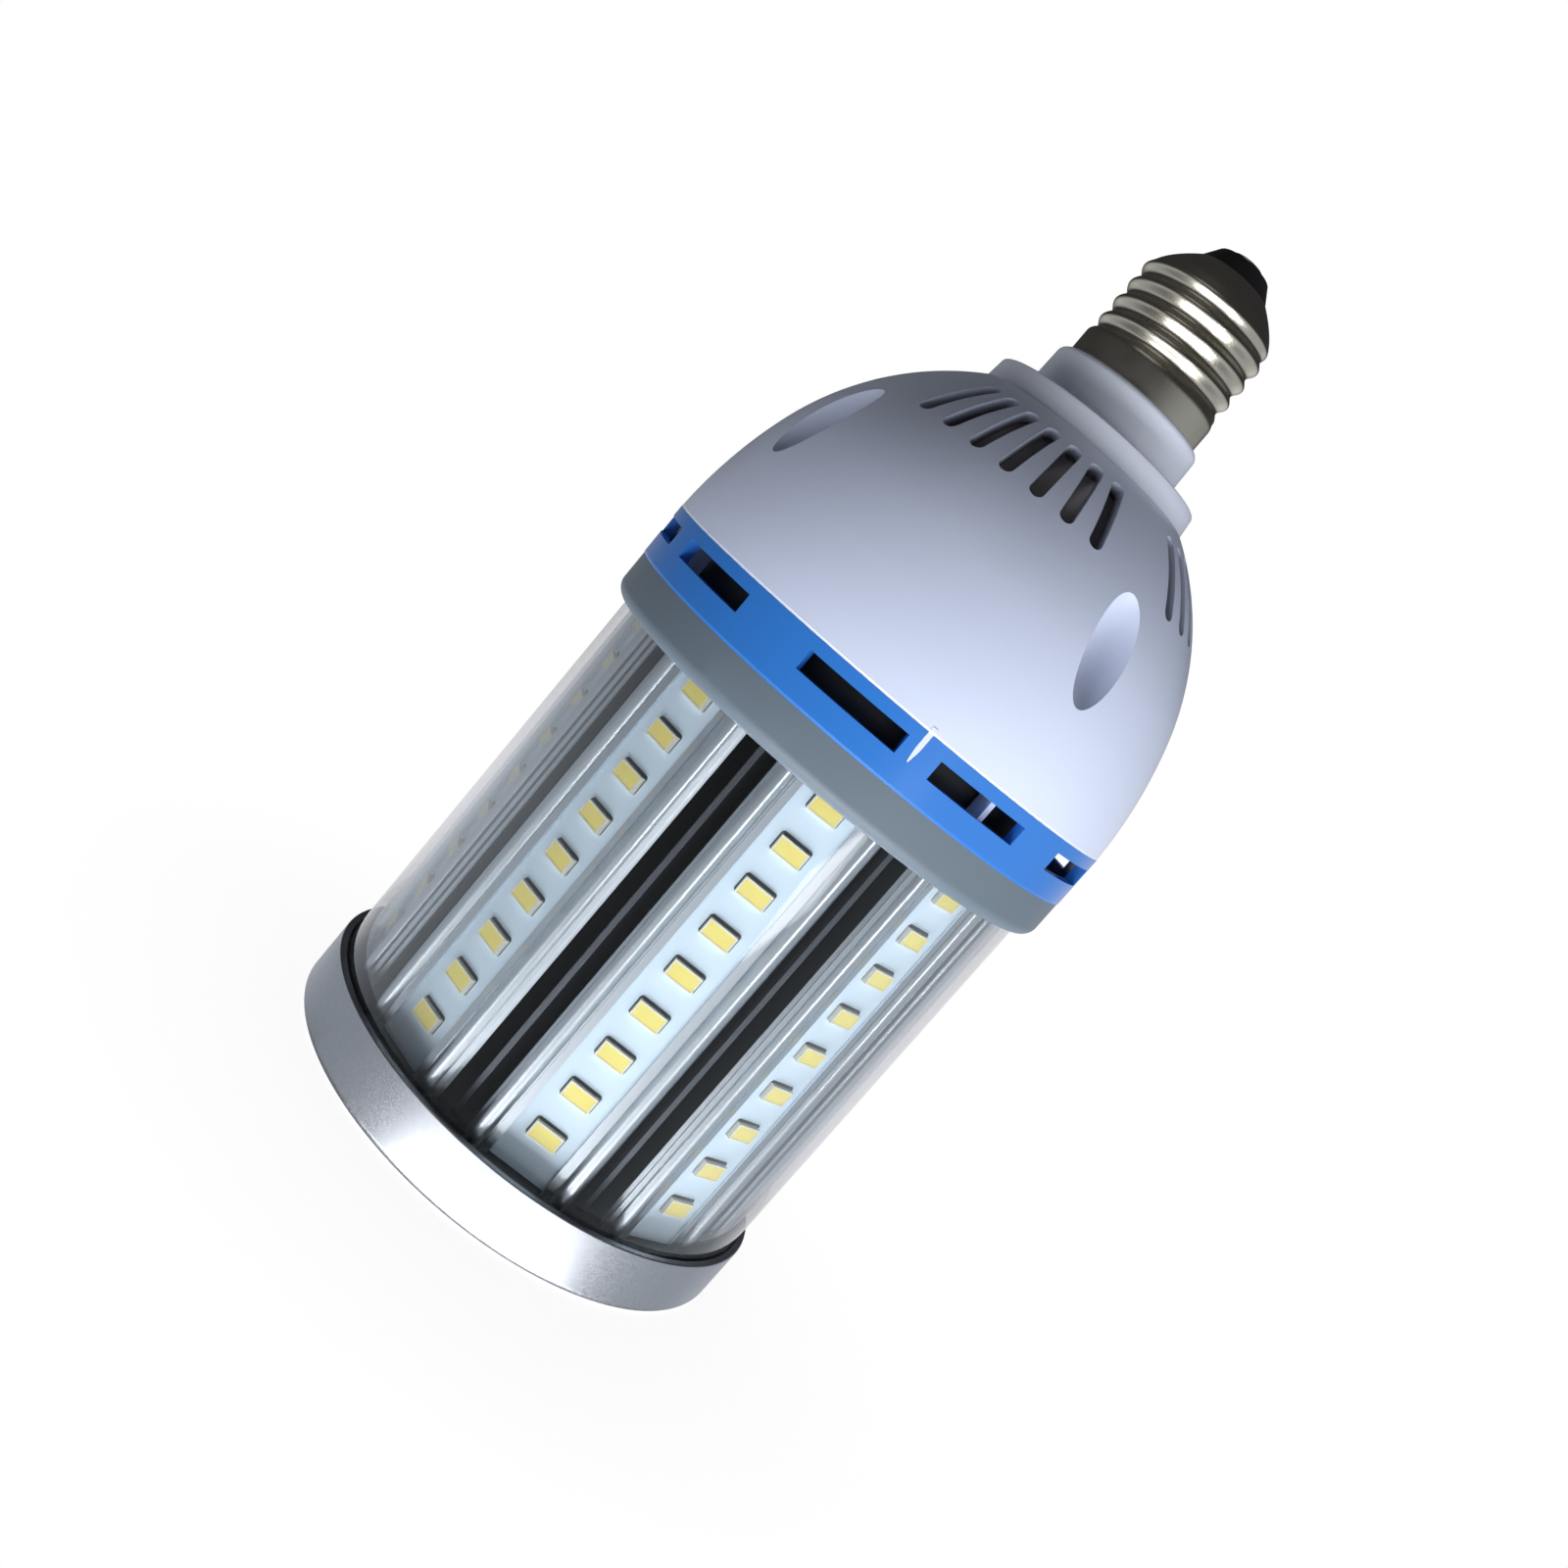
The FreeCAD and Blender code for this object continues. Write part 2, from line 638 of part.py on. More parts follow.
def scoop(grow=0.0):
    ball = Part.makeSphere(1.0)
    size = FreeCAD.Matrix()
    size.scale(SCOOP_ACROSS + grow, SCOOP_RADIAL + grow, SCOOP_UP + grow)
    ball = ball.transformGeometry(size)
    ball.translate(at(SCOOP_CENTRE_R, BLUE_TOP + SCOOP_CENTRE_RISE))
    return ball


def dome_vent():
    """A round-ended slot, cut square to the dome's wall under the flange."""
    centre_z = BLUE_TOP - DOME_LOW_DROP
    bend = math.radians(DOME_LOW_ANGLE)
    shift = DOME_LOW_R - DOME_HIGH_R
    arc_r = -(DOME_LOW_R - BLUE_R) + shift * math.cos(bend)
    arc_z = centre_z + shift * math.sin(bend)

    def wall_point(rise):
        height = BLUE_TOP + rise
        return arc_r + math.sqrt(DOME_HIGH_R ** 2 - (height - arc_z) ** 2), height

    low_r, low_z = wall_point(VENT_BOTTOM)
    high_r, high_z = wall_point(VENT_TOP)
    length = math.hypot(low_r - high_r, high_z - low_z) - VENT_WIDTH
    half = VENT_WIDTH / 2
    reach = DOME_WALL * 2.5
    slab = Part.makeBox(VENT_WIDTH, length, 2 * reach, FreeCAD.Vector(-half, -length / 2, -reach))
    for end in (-length / 2, length / 2):
        slab = slab.fuse(Part.makeCylinder(half, 2 * reach, FreeCAD.Vector(0, end, -reach)))
    slab = slab.removeSplitter()
    slope = math.degrees(math.atan2(high_z - low_z, low_r - high_r))
    slab.rotate(ORIGIN, FreeCAD.Vector(1, 0, 0), slope)
    slab.translate(at((low_r + high_r) / 2, (low_z + high_z) / 2))
    return slab


def dome_housing():
    outside = revolved(dome_edges(0.0, BLUE_TOP))
    inside = revolved(dome_edges(DOME_WALL, BLUE_TOP - 1.0))
    bulges = around(scoop(DOME_WALL), GROUPS, SCOOP_AZIMUTH)
    shell = outside.cut(inside).fuse([bulge.common(outside) for bulge in bulges])
    post = cylinder(POST_R, GREY_TOP, BLUE_TOP + SCOOP_CENTRE_RISE, POST_CIRCLE_R)
    rib_in = SPIGOT_R - 2 * SPIGOT_WALL
    rib_low = GREY_TOP + SPIGOT_HEIGHT + RING_GAP
    rib = box(DOME_RIB, SPIGOT_R - rib_in, BLUE_TOP + SPIGOT_HEIGHT * 2 - rib_low,
              (0, -(SPIGOT_R + rib_in) / 2), rib_low)
    spigot = tube(SPIGOT_R - SPIGOT_WALL, SPIGOT_R, BLUE_TOP - SPIGOT_HEIGHT + RING_GAP * 3,
                  BLUE_TOP + DOME_WALL)
    shell = shell.fuse([spigot, key_shape(0.0)] + around(post, GROUPS, SCOOP_AZIMUTH)
                       + around(rib, GROUPS, SCOOP_AZIMUTH))
    mouth = cylinder(DOME_MOUTH_R, DOME_TOP - DOME_WALL * 2, DOME_TOP + 1.0)
    pilot = cylinder(SCREW_R, GREY_TOP - 1.0, GREY_TOP + SCREW_LENGTH, POST_CIRCLE_R)
    vents = []
    for step in range(GROUP_VENTS):
        offset = (step - (GROUP_VENTS - 1) / 2) * VENT_PITCH
        vents += around(dome_vent(), GROUPS, GROUP_AZIMUTH + offset)
    scoops = around(scoop(), GROUPS, SCOOP_AZIMUTH)
    pilots = around(pilot, GROUPS, SCOOP_AZIMUTH)
    return shell.cut([mouth] + vents + scoops + pilots).Solids[0]


# Base adapter

def base_adapter():
    bore = NECK_TOP_R - ADAPTER_WALL
    spigot_r = DOME_MOUTH_R - COVER_GAP
    body = turned_profile([
        (bore, DOME_TOP + ADAPTER_WALL), (spigot_r - ADAPTER_WALL, DOME_TOP + ADAPTER_WALL),
        (spigot_r - ADAPTER_WALL, DOME_TOP - ADAPTER_SPIGOT),
        (spigot_r, DOME_TOP - ADAPTER_SPIGOT), (spigot_r, DOME_TOP), (FLANGE_R, DOME_TOP),
        (FLANGE_TOP_R, FLANGE_TOP), (NECK_R, FLANGE_TOP), (NECK_TOP_R, NECK_TOP),
        (CORE_R, NECK_TOP), (CORE_R, NECK_TOP + CORE_HEIGHT),
        (CORE_BORE_R, NECK_TOP + CORE_HEIGHT), (CORE_BORE_R, NECK_TOP - ADAPTER_WALL),
        (bore, NECK_TOP - ADAPTER_WALL)])
    body = round_edges(body, NECK_EDGE_R, NECK_TOP_R, NECK_TOP)
    return round_edges(body, COVER_GAP * 2, FLANGE_TOP_R, FLANGE_TOP)


# Screw shell: both faces follow one formula, radius as a function of height and turn

def smooth(value):
    value = min(max(value, 0.0), 1.0)
    return value * value * (3.0 - 2.0 * value)


def shell_base_r(rise):
    """Mean radius of the sheet's outside at a height above the neck."""
    middle = (THREAD_MAJOR_R + THREAD_MINOR_R) / 2
    radius = SKIRT_R + (middle - SKIRT_R) * smooth((rise - SKIRT_HEIGHT) / (THREAD_PITCH / 4))
    if rise > THREAD_TOP:
        share = (rise - THREAD_TOP) / (SHELL_HEIGHT - THREAD_TOP)
        radius -= (middle - SHELL_HOLE_R) * share ** 1.5
    return radius


def shell_radius(rise, turn, inset, gain):
    depth = gain * (THREAD_MAJOR_R - THREAD_MINOR_R) / 2
    fade_in = smooth((rise - SKIRT_HEIGHT) / (THREAD_PITCH / 2))
    fade_out = smooth((THREAD_TOP + THREAD_PITCH / 3 - rise) / (THREAD_PITCH / 2))
    phase = 2 * math.pi * ((NECK_TOP + rise) / THREAD_PITCH - THREAD_TURN_SHIFT) - turn
    step = 0.05
    slope = (shell_base_r(rise + step) - shell_base_r(rise - step)) / (2 * step)
    wall = inset * math.sqrt(1.0 + slope * slope)
    return shell_base_r(rise) + depth * fade_in * fade_out * math.cos(phase) - wall


def pole_gain(angle):
    """How far the poles of an even cubic spline stand off a wave, for one pole step."""
    return 3.0 / (2.0 + math.cos(angle))


def shell_side(inset):
    """One side of the sheet: a cubic surface that closes round the axis."""
    spans = int(SHELL_SPANS)
    columns = int(SHELL_COLUMNS)
    step = SHELL_HEIGHT / spans
    rises = [0.0, step / 3] + [step * row for row in range(1, spans)]
    rises += [SHELL_HEIGHT - step / 3, SHELL_HEIGHT]
    around_step = 2 * math.pi / columns
    thread_gain = pole_gain(2 * math.pi * step / THREAD_PITCH)
    poles = []
    for column in range(columns):
        turn = around_step * column
        line = []
        for rise in rises:
            radius = shell_radius(rise, turn, inset, thread_gain) * pole_gain(around_step)
            line.append(FreeCAD.Vector(radius * math.cos(turn), radius * math.sin(turn),
                                       NECK_TOP + rise))
        poles.append(line)
    surface = Part.BSplineSurface()
    surface.buildFromPolesMultsKnots(
        poles, [1] * (columns + 1), [4] + [1] * (spans - 1) + [4],
        list(range(columns + 1)), list(range(spans + 1)), True, False, 3, 3)
    return surface.toShape()


def rim_edge(face, height):
    for edge in face.Edges:
        if edge.isClosed() and abs(edge.Vertexes[0].Z - height) < 1e-4:
            return edge


def screw_shell():
    outer = shell_side(0.0)
    inner = shell_side(SHELL_SHEET)
    faces = [outer, inner]
    for height in (NECK_TOP, SHELL_TOP):
        faces.append(Part.makeRuledSurface(rim_edge(outer, height), rim_edge(inner, height)))
    shell = Part.Shell(faces)
    shell.sewShape()
    solid = Part.Solid(shell)
    if solid.Volume < 0:
        solid.reverse()
    return solid


def cap_insulator():
    stem_r = SHELL_HOLE_R - SHELL_SHEET * 2 - RING_GAP
    collar = SHELL_HOLE_R - RING_GAP
    pin = CONTACT_PIN_R + KEY_GAP
    body = turned_profile([
        (pin, SHELL_TOP - INSULATOR_STEM), (stem_r, SHELL_TOP - INSULATOR_STEM),
        (stem_r, SHELL_TOP), (collar, SHELL_TOP), (INSULATOR_TOP_R, TIP), (pin, TIP)])
    return round_edges(body, INSULATOR_HEIGHT / 6, INSULATOR_TOP_R, TIP)


def centre_contact():
    head = cylinder(CONTACT_R, TIP, TIP + CONTACT_HEIGHT)
    head = round_edges(head, CONTACT_HEIGHT / 2, CONTACT_R, TIP + CONTACT_HEIGHT)
    pin = cylinder(CONTACT_PIN_R, SHELL_TOP - INSULATOR_STEM - 1.0, TIP)
    return head.fuse(pin).removeSplitter()


# Driver: a round board on standoffs, with its components

def driver_sleeve():
    """Black sleeve round the driver, which the vents of the blue ring look at."""
    radius = SPIGOT_R - 2 * SPIGOT_WALL - COVER_GAP * 3
    return tube(radius - SLEEVE_WALL, radius, GREY_TOP, GREY_TOP + SLEEVE_HEIGHT)


def driver_board():
    board = cylinder(DRIVER_R, DRIVER_BOTTOM, DRIVER_TOP)
    hole = cylinder(SCREW_HOLE_R, DRIVER_BOTTOM - 1.0, DRIVER_TOP + 1.0, STANDOFF_CIRCLE_R)
    lead_r = LEAD_R + KEY_GAP
    passage = cylinder(lead_r, DRIVER_BOTTOM - 1.0, DRIVER_TOP + 1.0, LEAD_HOLE_R)
    return board.cut(around(hole, PORTS) + [passage])


def standoffs():
    post = cylinder(STANDOFF_R, GREY_TOP, DRIVER_BOTTOM, STANDOFF_CIRCLE_R)
    bore = cylinder(SCREW_R, DRIVER_BOTTOM - STANDOFF_BORE, DRIVER_BOTTOM, STANDOFF_CIRCLE_R)
    return around(post.cut(bore), PORTS)


def driver_screws():
    tip = DRIVER_BOTTOM - BOARD_SCREW_LENGTH
    crown = DRIVER_TOP + SCREW_HEAD
    screw = turned_profile([(0.0, tip), (SCREW_R, tip), (SCREW_R, DRIVER_TOP),
                            (SCREW_HEAD_R, DRIVER_TOP), (SCREW_HEAD_R, crown), (0.0, crown)])
    slot = cross_recess()
    slot.translate(FreeCAD.Vector(0, 0, crown - CROSS_DEPTH))
    screw = screw.cut(slot)
    screw.translate(FreeCAD.Vector(0, -STANDOFF_CIRCLE_R, 0))
    return around(screw, PORTS)


def on_board(place, rise=0.0):
    """A point above a place on the driver board."""
    return FreeCAD.Vector(place[0], place[1], DRIVER_TOP + rise)


def top_edges(block, height):
    """Edges of a block that lie wholly at one height."""
    return [edge for edge in block.Edges
            if min(corner.Z for corner in edge.Vertexes) > height - 1e-4]


def transformer_core():
    """Two E halves as a frame with a round middle leg."""
    frame = box(CORE_WIDTH, CORE_DEPTH, CORE_TALL, CORE_PLACE, DRIVER_TOP)
    tall = CORE_TALL - 2 * CORE_YOKE
    window = box(CORE_WINDOW_WIDTH, CORE_DEPTH * 2, tall, CORE_PLACE, DRIVER_TOP + CORE_YOKE)
    leg = Part.makeCylinder(CORE_LEG_R, tall, on_board(CORE_PLACE, CORE_YOKE))
    return frame.cut(window).fuse(leg).removeSplitter()


def transformer_winding():
    """Bobbin and tape round the middle leg."""
    base = on_board(CORE_PLACE, CORE_YOKE + WINDING_GAP)
    tall = CORE_TALL - 2 * CORE_YOKE - 2 * WINDING_GAP
    bore = Part.makeCylinder(CORE_LEG_R + WINDING_GAP, tall, base)
    return Part.makeCylinder(WINDING_R, tall, base).cut(bore)


def can_capacitor(radius, height, place):
    """Electrolytic can with a rolled groove and a rounded top."""
    body = Part.makeCylinder(radius, height, on_board(place))
    body = round_edges(body, radius / 8, radius, DRIVER_TOP + height)
    ring_r = radius + CAN_GROOVE_R - CAN_GROOVE_DEPTH
    groove = Part.makeTorus(ring_r, CAN_GROOVE_R, on_board(place, CAN_GROOVE_RISE))
    return body.cut(groove)


def input_choke():
    drum_tall = CHOKE_HEIGHT - 2 * CHOKE_FLANGE
    low = Part.makeCylinder(CHOKE_R, CHOKE_FLANGE, on_board(CHOKE_PLACE))
    drum = Part.makeCylinder(CHOKE_DRUM_R, drum_tall, on_board(CHOKE_PLACE, CHOKE_FLANGE))
    upper = on_board(CHOKE_PLACE, CHOKE_HEIGHT - CHOKE_FLANGE)
    high = Part.makeCylinder(CHOKE_R, CHOKE_FLANGE, upper)
    return low.fuse([drum, high]).removeSplitter()


def film_capacitor():
    block = box(FILM_WIDTH, FILM_DEPTH, FILM_HEIGHT, FILM_PLACE, DRIVER_TOP)
    return block.makeFillet(FILM_EDGE_R, top_edges(block, DRIVER_TOP + FILM_HEIGHT))


def varistor():
    back = on_board(VARISTOR_PLACE, VARISTOR_RISE) - FreeCAD.Vector(0, VARISTOR_THICK / 2, 0)
    disc = Part.makeCylinder(VARISTOR_R, VARISTOR_THICK, back, FreeCAD.Vector(0, 1, 0))
    legs = []
    for side in (-1, 1):
        foot = on_board(VARISTOR_PLACE) + FreeCAD.Vector(side * VARISTOR_LEG_SPREAD, 0, 0)
        legs.append(Part.makeCylinder(LEG_R, VARISTOR_RISE - VARISTOR_R / 2, foot))
    return disc.fuse(legs).removeSplitter()


def bridge_rectifier():
    block = box(BRIDGE_WIDTH, BRIDGE_DEPTH, BRIDGE_HEIGHT, BRIDGE_PLACE, DRIVER_TOP)
    return block.makeChamfer(BRIDGE_CHAMFER, top_edges(block, DRIVER_TOP + BRIDGE_HEIGHT))


def driver_chip():
    block = box(CHIP_WIDTH, CHIP_DEPTH, CHIP_HEIGHT, CHIP_PLACE, DRIVER_TOP)
    return block.makeChamfer(CHIP_CHAMFER, top_edges(block, DRIVER_TOP + CHIP_HEIGHT))


def fuse_resistor():
    back = on_board(FUSE_PLACE, FUSE_RISE) - FreeCAD.Vector(0, FUSE_LENGTH / 2, 0)
    body = Part.makeCylinder(FUSE_R, FUSE_LENGTH, back, FreeCAD.Vector(0, 1, 0))
    ends = [edge for edge in body.Edges if isinstance(edge.Curve, Part.Circle)]
    body = body.makeFillet(FUSE_EDGE_R, ends)
    legs = []
    for side in (-1, 1):
        foot = on_board(FUSE_PLACE) + FreeCAD.Vector(0, side * FUSE_LEG_SPREAD, 0)
        legs.append(Part.makeCylinder(LEG_R, FUSE_RISE - FUSE_R / 2, foot))
    return body.fuse(legs).removeSplitter()


# Leads

def lead(points):
    """A round wire along straight runs joined by tangent arcs."""
    corners = [FreeCAD.Vector(*point) for point in points]
    edges = []
    last = corners[0]
    for before, corner, after in zip(corners, corners[1:], corners[2:]):
        back = (before - corner)
        ahead = (after - corner)
        turn = math.pi - back.getAngle(ahead)
        run = min(back.Length, ahead.Length)
        cut = 0.45 * run
        radius = cut / math.tan(turn / 2)
        back.normalize()
        ahead.normalize()
        start = corner + back * cut
        end = corner + ahead * cut
        inward = back + ahead
        inward.normalize()
        middle = corner + inward * (radius / math.cos(turn / 2) - radius)
        edges.append(Part.makeLine(last, start))
        edges.append(Part.Arc(start, middle, end).toShape())
        last = end
    edges.append(Part.makeLine(last, corners[-1]))
    path = Part.Wire(edges)
    first_run = corners[1] - corners[0]
    section = Part.Wire(Part.makeCircle(LEAD_R, corners[0], first_run))
    return path.makePipeShell([section], True, True)


def lead_middle():
    """Height half way up the dome, where the leads sway most."""
    return (DRIVER_TOP + DOME_TOP) / 2


def contact_lead():
    top = SHELL_TOP - INSULATOR_STEM - 1.0
    sway = LEAD_SWAY
    return lead([(0.0, 0.0, top), (0.0, 0.0, top - LEAD_RUN),
                 (-sway, sway / 2, DOME_TOP - 2 * sway), (sway, -2 * sway, lead_middle()),
                 (0.0, -LEAD_HOLE_R, DRIVER_TOP + LEAD_RUN), (0.0, -LEAD_HOLE_R, DRIVER_TOP)])


def shell_lead():
    rim = NECK_TOP + CORE_HEIGHT
    side = CORE_BORE_R - LEAD_R * 2
    low = side - 3 * LEAD_SWAY
    return lead([(CORE_R - LEAD_R, 0.0, rim + LEAD_R * 1.4), (side, 0.3, rim + LEAD_R * 2.2),
                 (side - LEAD_R * 2, 0.5, rim - LEAD_RUN), (side - LEAD_SWAY, 1.5, NECK_TOP - LEAD_RUN),
                 (side - 2 * LEAD_SWAY, 0.5, lead_middle()), (low, -1.0, DRIVER_TOP + LEAD_RUN),
                 (low, -1.0, DRIVER_TOP)])


def led_lead(azimuth, start_across):
    """From the driver board down an air hole and over to the top of a board."""
    run_z = PLATE_BOTTOM - PLATE_SPACER / 2
    hole = channel_r()
    face = BOARD_FACE + LEAD_R + KEY_GAP
    side = math.radians(COLUMN_STEP / 2)
    lean = BOARD_WIDTH / 4
    end_x = face * math.sin(side) - lean * math.cos(side)
    end_r = face * math.cos(side) + lean * math.sin(side)
    points = [(start_across, -hole + 1.0, DRIVER_BOTTOM),
              (start_across, -hole + 1.0, DRIVER_BOTTOM - LEAD_RUN / 2),
              (0.5, -hole, GREY_TOP + LEAD_RUN * 0.75),
              (0.4, -hole, PLATE_BOTTOM - 0.2), (end_x * 0.5, -(hole + end_r) / 2, run_z),
              (end_x, -end_r, run_z), (end_x, -end_r, HEATSINK_TOP - BOARD_END_GAP * 3)]
    return turned(lead(points), azimuth)


def build():
    os.makedirs("parts", exist_ok=True)
    save("end_cap", end_cap())
    save("seat_ring", seat_ring())
    save("end_cap_screws", screws(PORT_CIRCLE_R, PORTS, COLUMN_AZIMUTH, 0.0))
    save("clear_cover", tube(COVER_BORE_R, COVER_R, COVER_FOOT, COVER_TOP))
    save("cover_gasket", tube(COVER_BORE_R, COVER_R, COVER_TOP, PLATE_BOTTOM))
    save("heatsink", heatsink())
    board = led_board()
    packages = [led_package(height) for height in led_heights()]
    phosphors = [led_phosphor(height) for height in led_heights()]
    for column in range(COLUMNS):
        azimuth = COLUMN_AZIMUTH + column * COLUMN_STEP
        number = str(column + 1)
        save("led_board_" + number, turned(board, azimuth))
        save("led_packages_" + number, [turned(one, azimuth) for one in packages])
        save("led_phosphors_" + number, [turned(one, azimuth) for one in phosphors])
    save("grey_ring", grey_ring())
    save("chassis_screws", screws(PORT_CIRCLE_R, PORTS, COLUMN_AZIMUTH, GREY_TOP, True))
    save("housing_screws", screws(POST_CIRCLE_R, GROUPS, SCOOP_AZIMUTH, PLATE_BOTTOM))
    save("blue_vent_ring", blue_vent_ring())
    save("dome_housing", dome_housing())
    save("base_adapter", base_adapter())
    save("screw_shell", screw_shell())
    save("cap_insulator", cap_insulator())
    save("centre_contact", centre_contact())
    save("driver_sleeve", driver_sleeve())
    save("driver_board", driver_board())
    save("driver_standoffs", standoffs())
    save("driver_screws", driver_screws())
    save("transformer_core", transformer_core())
    save("transformer_winding", transformer_winding())
    input_can = can_capacitor(INPUT_CAN_R, INPUT_CAN_HEIGHT, INPUT_CAN_PLACE)
    save("input_capacitor", input_can)
    output_can = can_capacitor(OUTPUT_CAN_R, OUTPUT_CAN_HEIGHT, OUTPUT_CAN_PLACE)
    save("output_capacitor", output_can)
    save("input_choke", input_choke())
    save("film_capacitor", film_capacitor())
    save("varistor", varistor())
    save("bridge_rectifier", bridge_rectifier())
    save("driver_chip", driver_chip())
    save("fuse_resistor", fuse_resistor())
    save("contact_lead", contact_lead())
    save("shell_lead", shell_lead())
    save("led_leads", [led_lead(channel_azimuth() + COLUMN_STEP * 2, -1.0),
                       led_lead(channel_azimuth() + COLUMN_STEP * 3, 1.0)])


build()
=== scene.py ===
import json
import math

import bmesh
import bpy
from mathutils import Euler, Matrix, Vector


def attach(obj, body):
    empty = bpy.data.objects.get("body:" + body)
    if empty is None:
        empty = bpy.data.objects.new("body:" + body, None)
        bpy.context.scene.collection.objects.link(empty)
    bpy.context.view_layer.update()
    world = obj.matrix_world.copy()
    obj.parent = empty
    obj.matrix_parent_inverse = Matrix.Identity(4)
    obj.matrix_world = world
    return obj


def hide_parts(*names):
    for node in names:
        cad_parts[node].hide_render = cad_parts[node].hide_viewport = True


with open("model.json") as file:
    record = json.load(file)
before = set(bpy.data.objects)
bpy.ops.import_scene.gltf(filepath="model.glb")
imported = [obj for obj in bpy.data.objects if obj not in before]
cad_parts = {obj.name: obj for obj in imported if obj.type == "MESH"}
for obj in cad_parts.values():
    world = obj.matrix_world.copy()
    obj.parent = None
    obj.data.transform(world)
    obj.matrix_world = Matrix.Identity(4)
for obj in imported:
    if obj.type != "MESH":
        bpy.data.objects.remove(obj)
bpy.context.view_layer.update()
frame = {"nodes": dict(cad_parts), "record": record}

# Metres, degrees and watts, where nothing else is said. Colours are linear RGB.

# The photograph's camera, fitted to the lamp's round edges; lens and sensor in millimetres
CAMERA_PLACE = (0.0, -0.2689, 0.1146)
CAMERA_DOWN = 6.5
CAMERA_ROLL = 40.59
CAMERA_LENS = 35.9
CAMERA_SENSOR = 36.0
CAMERA_SHIFT = (-0.0218, -0.0115)

# The LED columns, as the source places them. A board is coloured dark just under its face, in
# the sunk windows round the LEDs.
COLUMN_AZIMUTH = 7.6
COLUMN_STEP = 40.0
BOARD_FACE = 0.03895
WINDOW_DEPTH = 0.00015
WINDOW_DARK_BELOW = BOARD_FACE - WINDOW_DEPTH * 0.6

# Radii of the heatsink, from the source: the floor of its dull channels, the tips of the fins
# in them, and the bright rails. Between them the channels are darkened by painted shade.
CHANNEL_FLOOR_R = 0.012
FIN_TIP_R = 0.0376
RAIL_R = 0.0388

# The dome's two arcs, from the source: centre radius, centre height, arc radius
DOME_LOW_ARC = (-0.0346, 0.1004, 0.0808)
DOME_HIGH_ARC = (-0.0057, 0.10984, 0.0504)
DOME_BEND_HEIGHT = 0.1255

# The dome's groups of air slots, and the depths between which painted shade darkens a slot's
# wall
VENT_GROUPS_AZIMUTH = -12.9
VENT_GROUP_STEP = 90.0
VENT_GROUP_HALF = 36.0
VENT_LOW = 0.1375
VENT_SHADE_DEPTHS = (0.0003, 0.0019)

# Rounded lower lips of the dome and of the blue ring: where they start, and their size
DOME_FOOT = 0.1032
BLUE_FOOT = 0.0935
LIP_HEIGHT = 0.0004
LIP_DEPTH = 0.0003

# Noise: the range that most of it lies in, its usual detail, and no stretch
NOISE_RANGE = (0.3, 0.7)
NOISE_DETAIL = 3.0
UNSTRETCHED = (1.0, 1.0, 1.0)

# Plastic: size and depth of its grain, how many grains make a patch of tone and one of
# roughness, the share by which both wander, and its clear coat
PLASTIC_GRAIN = 0.0006
PLASTIC_RELIEF = 0.0000008
PLASTIC_PATCHES = (20, 6)
PLASTIC_CLOUD = 0.03
COAT_ROUGHNESS = 0.04

# Metal: how many grains make a patch of tone and one of roughness, and how far both wander
METAL_PATCHES = (8, 3)
METAL_SHADE = 0.86
METAL_ROUGHNESS_SPREAD = (0.8, 1.25)

# The dome and the blue ring, which are glossier and smoother than other plastic
GLOSS_ROUGHNESS = 0.3
GLOSS_COAT = 0.15
DOME_WHITE = (0.7, 0.775, 0.975)
DOME_RELIEF = 0.0000003
DOME_CLOUD = 0.012
# Painted shade for the inside of the dome's air slots
VENT_SHADE = (0.16, 0.155, 0.165)
RING_BLUE = (0.027, 0.19, 0.63)
RING_RELIEF = 0.0000004

# Clear tube: how much it mirrors face on and at its edges, and how fast that grows
TUBE_MIRROR = (0.015, 0.9)
TUBE_EDGE_POWER = 2.2
TUBE_ROUGHNESS = (0.03, 0.045)
TUBE_PATCH = 0.01
TUBE_TINT = (0.95, 0.97, 1.0)
TUBE_WALL_TINT = (0.985, 0.99, 0.995)

# Screw shell
NICKEL_TONES = ((0.7, 0.65, 0.54), (0.8, 0.75, 0.64))
NICKEL_ROUGHNESS = (0.26, 0.3)
NICKEL_PATCH = 0.006

# Heatsink: painted shade tones of its channels, tones of its rails, roughness of both, and
# the die lines along it
CHANNEL_SHADE_TONES = ((0.13, 0.137, 0.148), (0.13, 0.142, 0.16))
RAIL_TONES = ((0.68, 0.73, 0.78), (0.86, 0.91, 0.95))
HEATSINK_ROUGHNESS = (0.5, 0.28)
DIE_LINE_WIDTH = 0.0015
DIE_LINE_STRETCH = (1.0, 1.0, 0.002)
DIE_LINE_RELIEF = 0.000001

# Solder mask of the LED boards, and the dark colour in their sunk windows
MASK_TONES = ((0.7, 0.86, 1.0), (0.74, 0.89, 1.0))
WINDOW_DARK = (0.1, 0.11, 0.12)
MASK_PATCH = 0.004
MASK_ROUGHNESS = 0.32
MASK_GRAIN = 0.0005
MASK_RELIEF = 0.000003

# Phosphor of the LEDs
PHOSPHOR_TONES = ((1.0, 0.82, 0.23), (1.0, 0.89, 0.31))
PHOSPHOR_PATCH = 0.003
PHOSPHOR_ROUGHNESS = 0.25
PHOSPHOR_DEPTH_SHARE = 0.2
PHOSPHOR_DEPTH = 0.0003
PHOSPHOR_GRAIN = 0.0006
PHOSPHOR_RELIEF = 0.000004

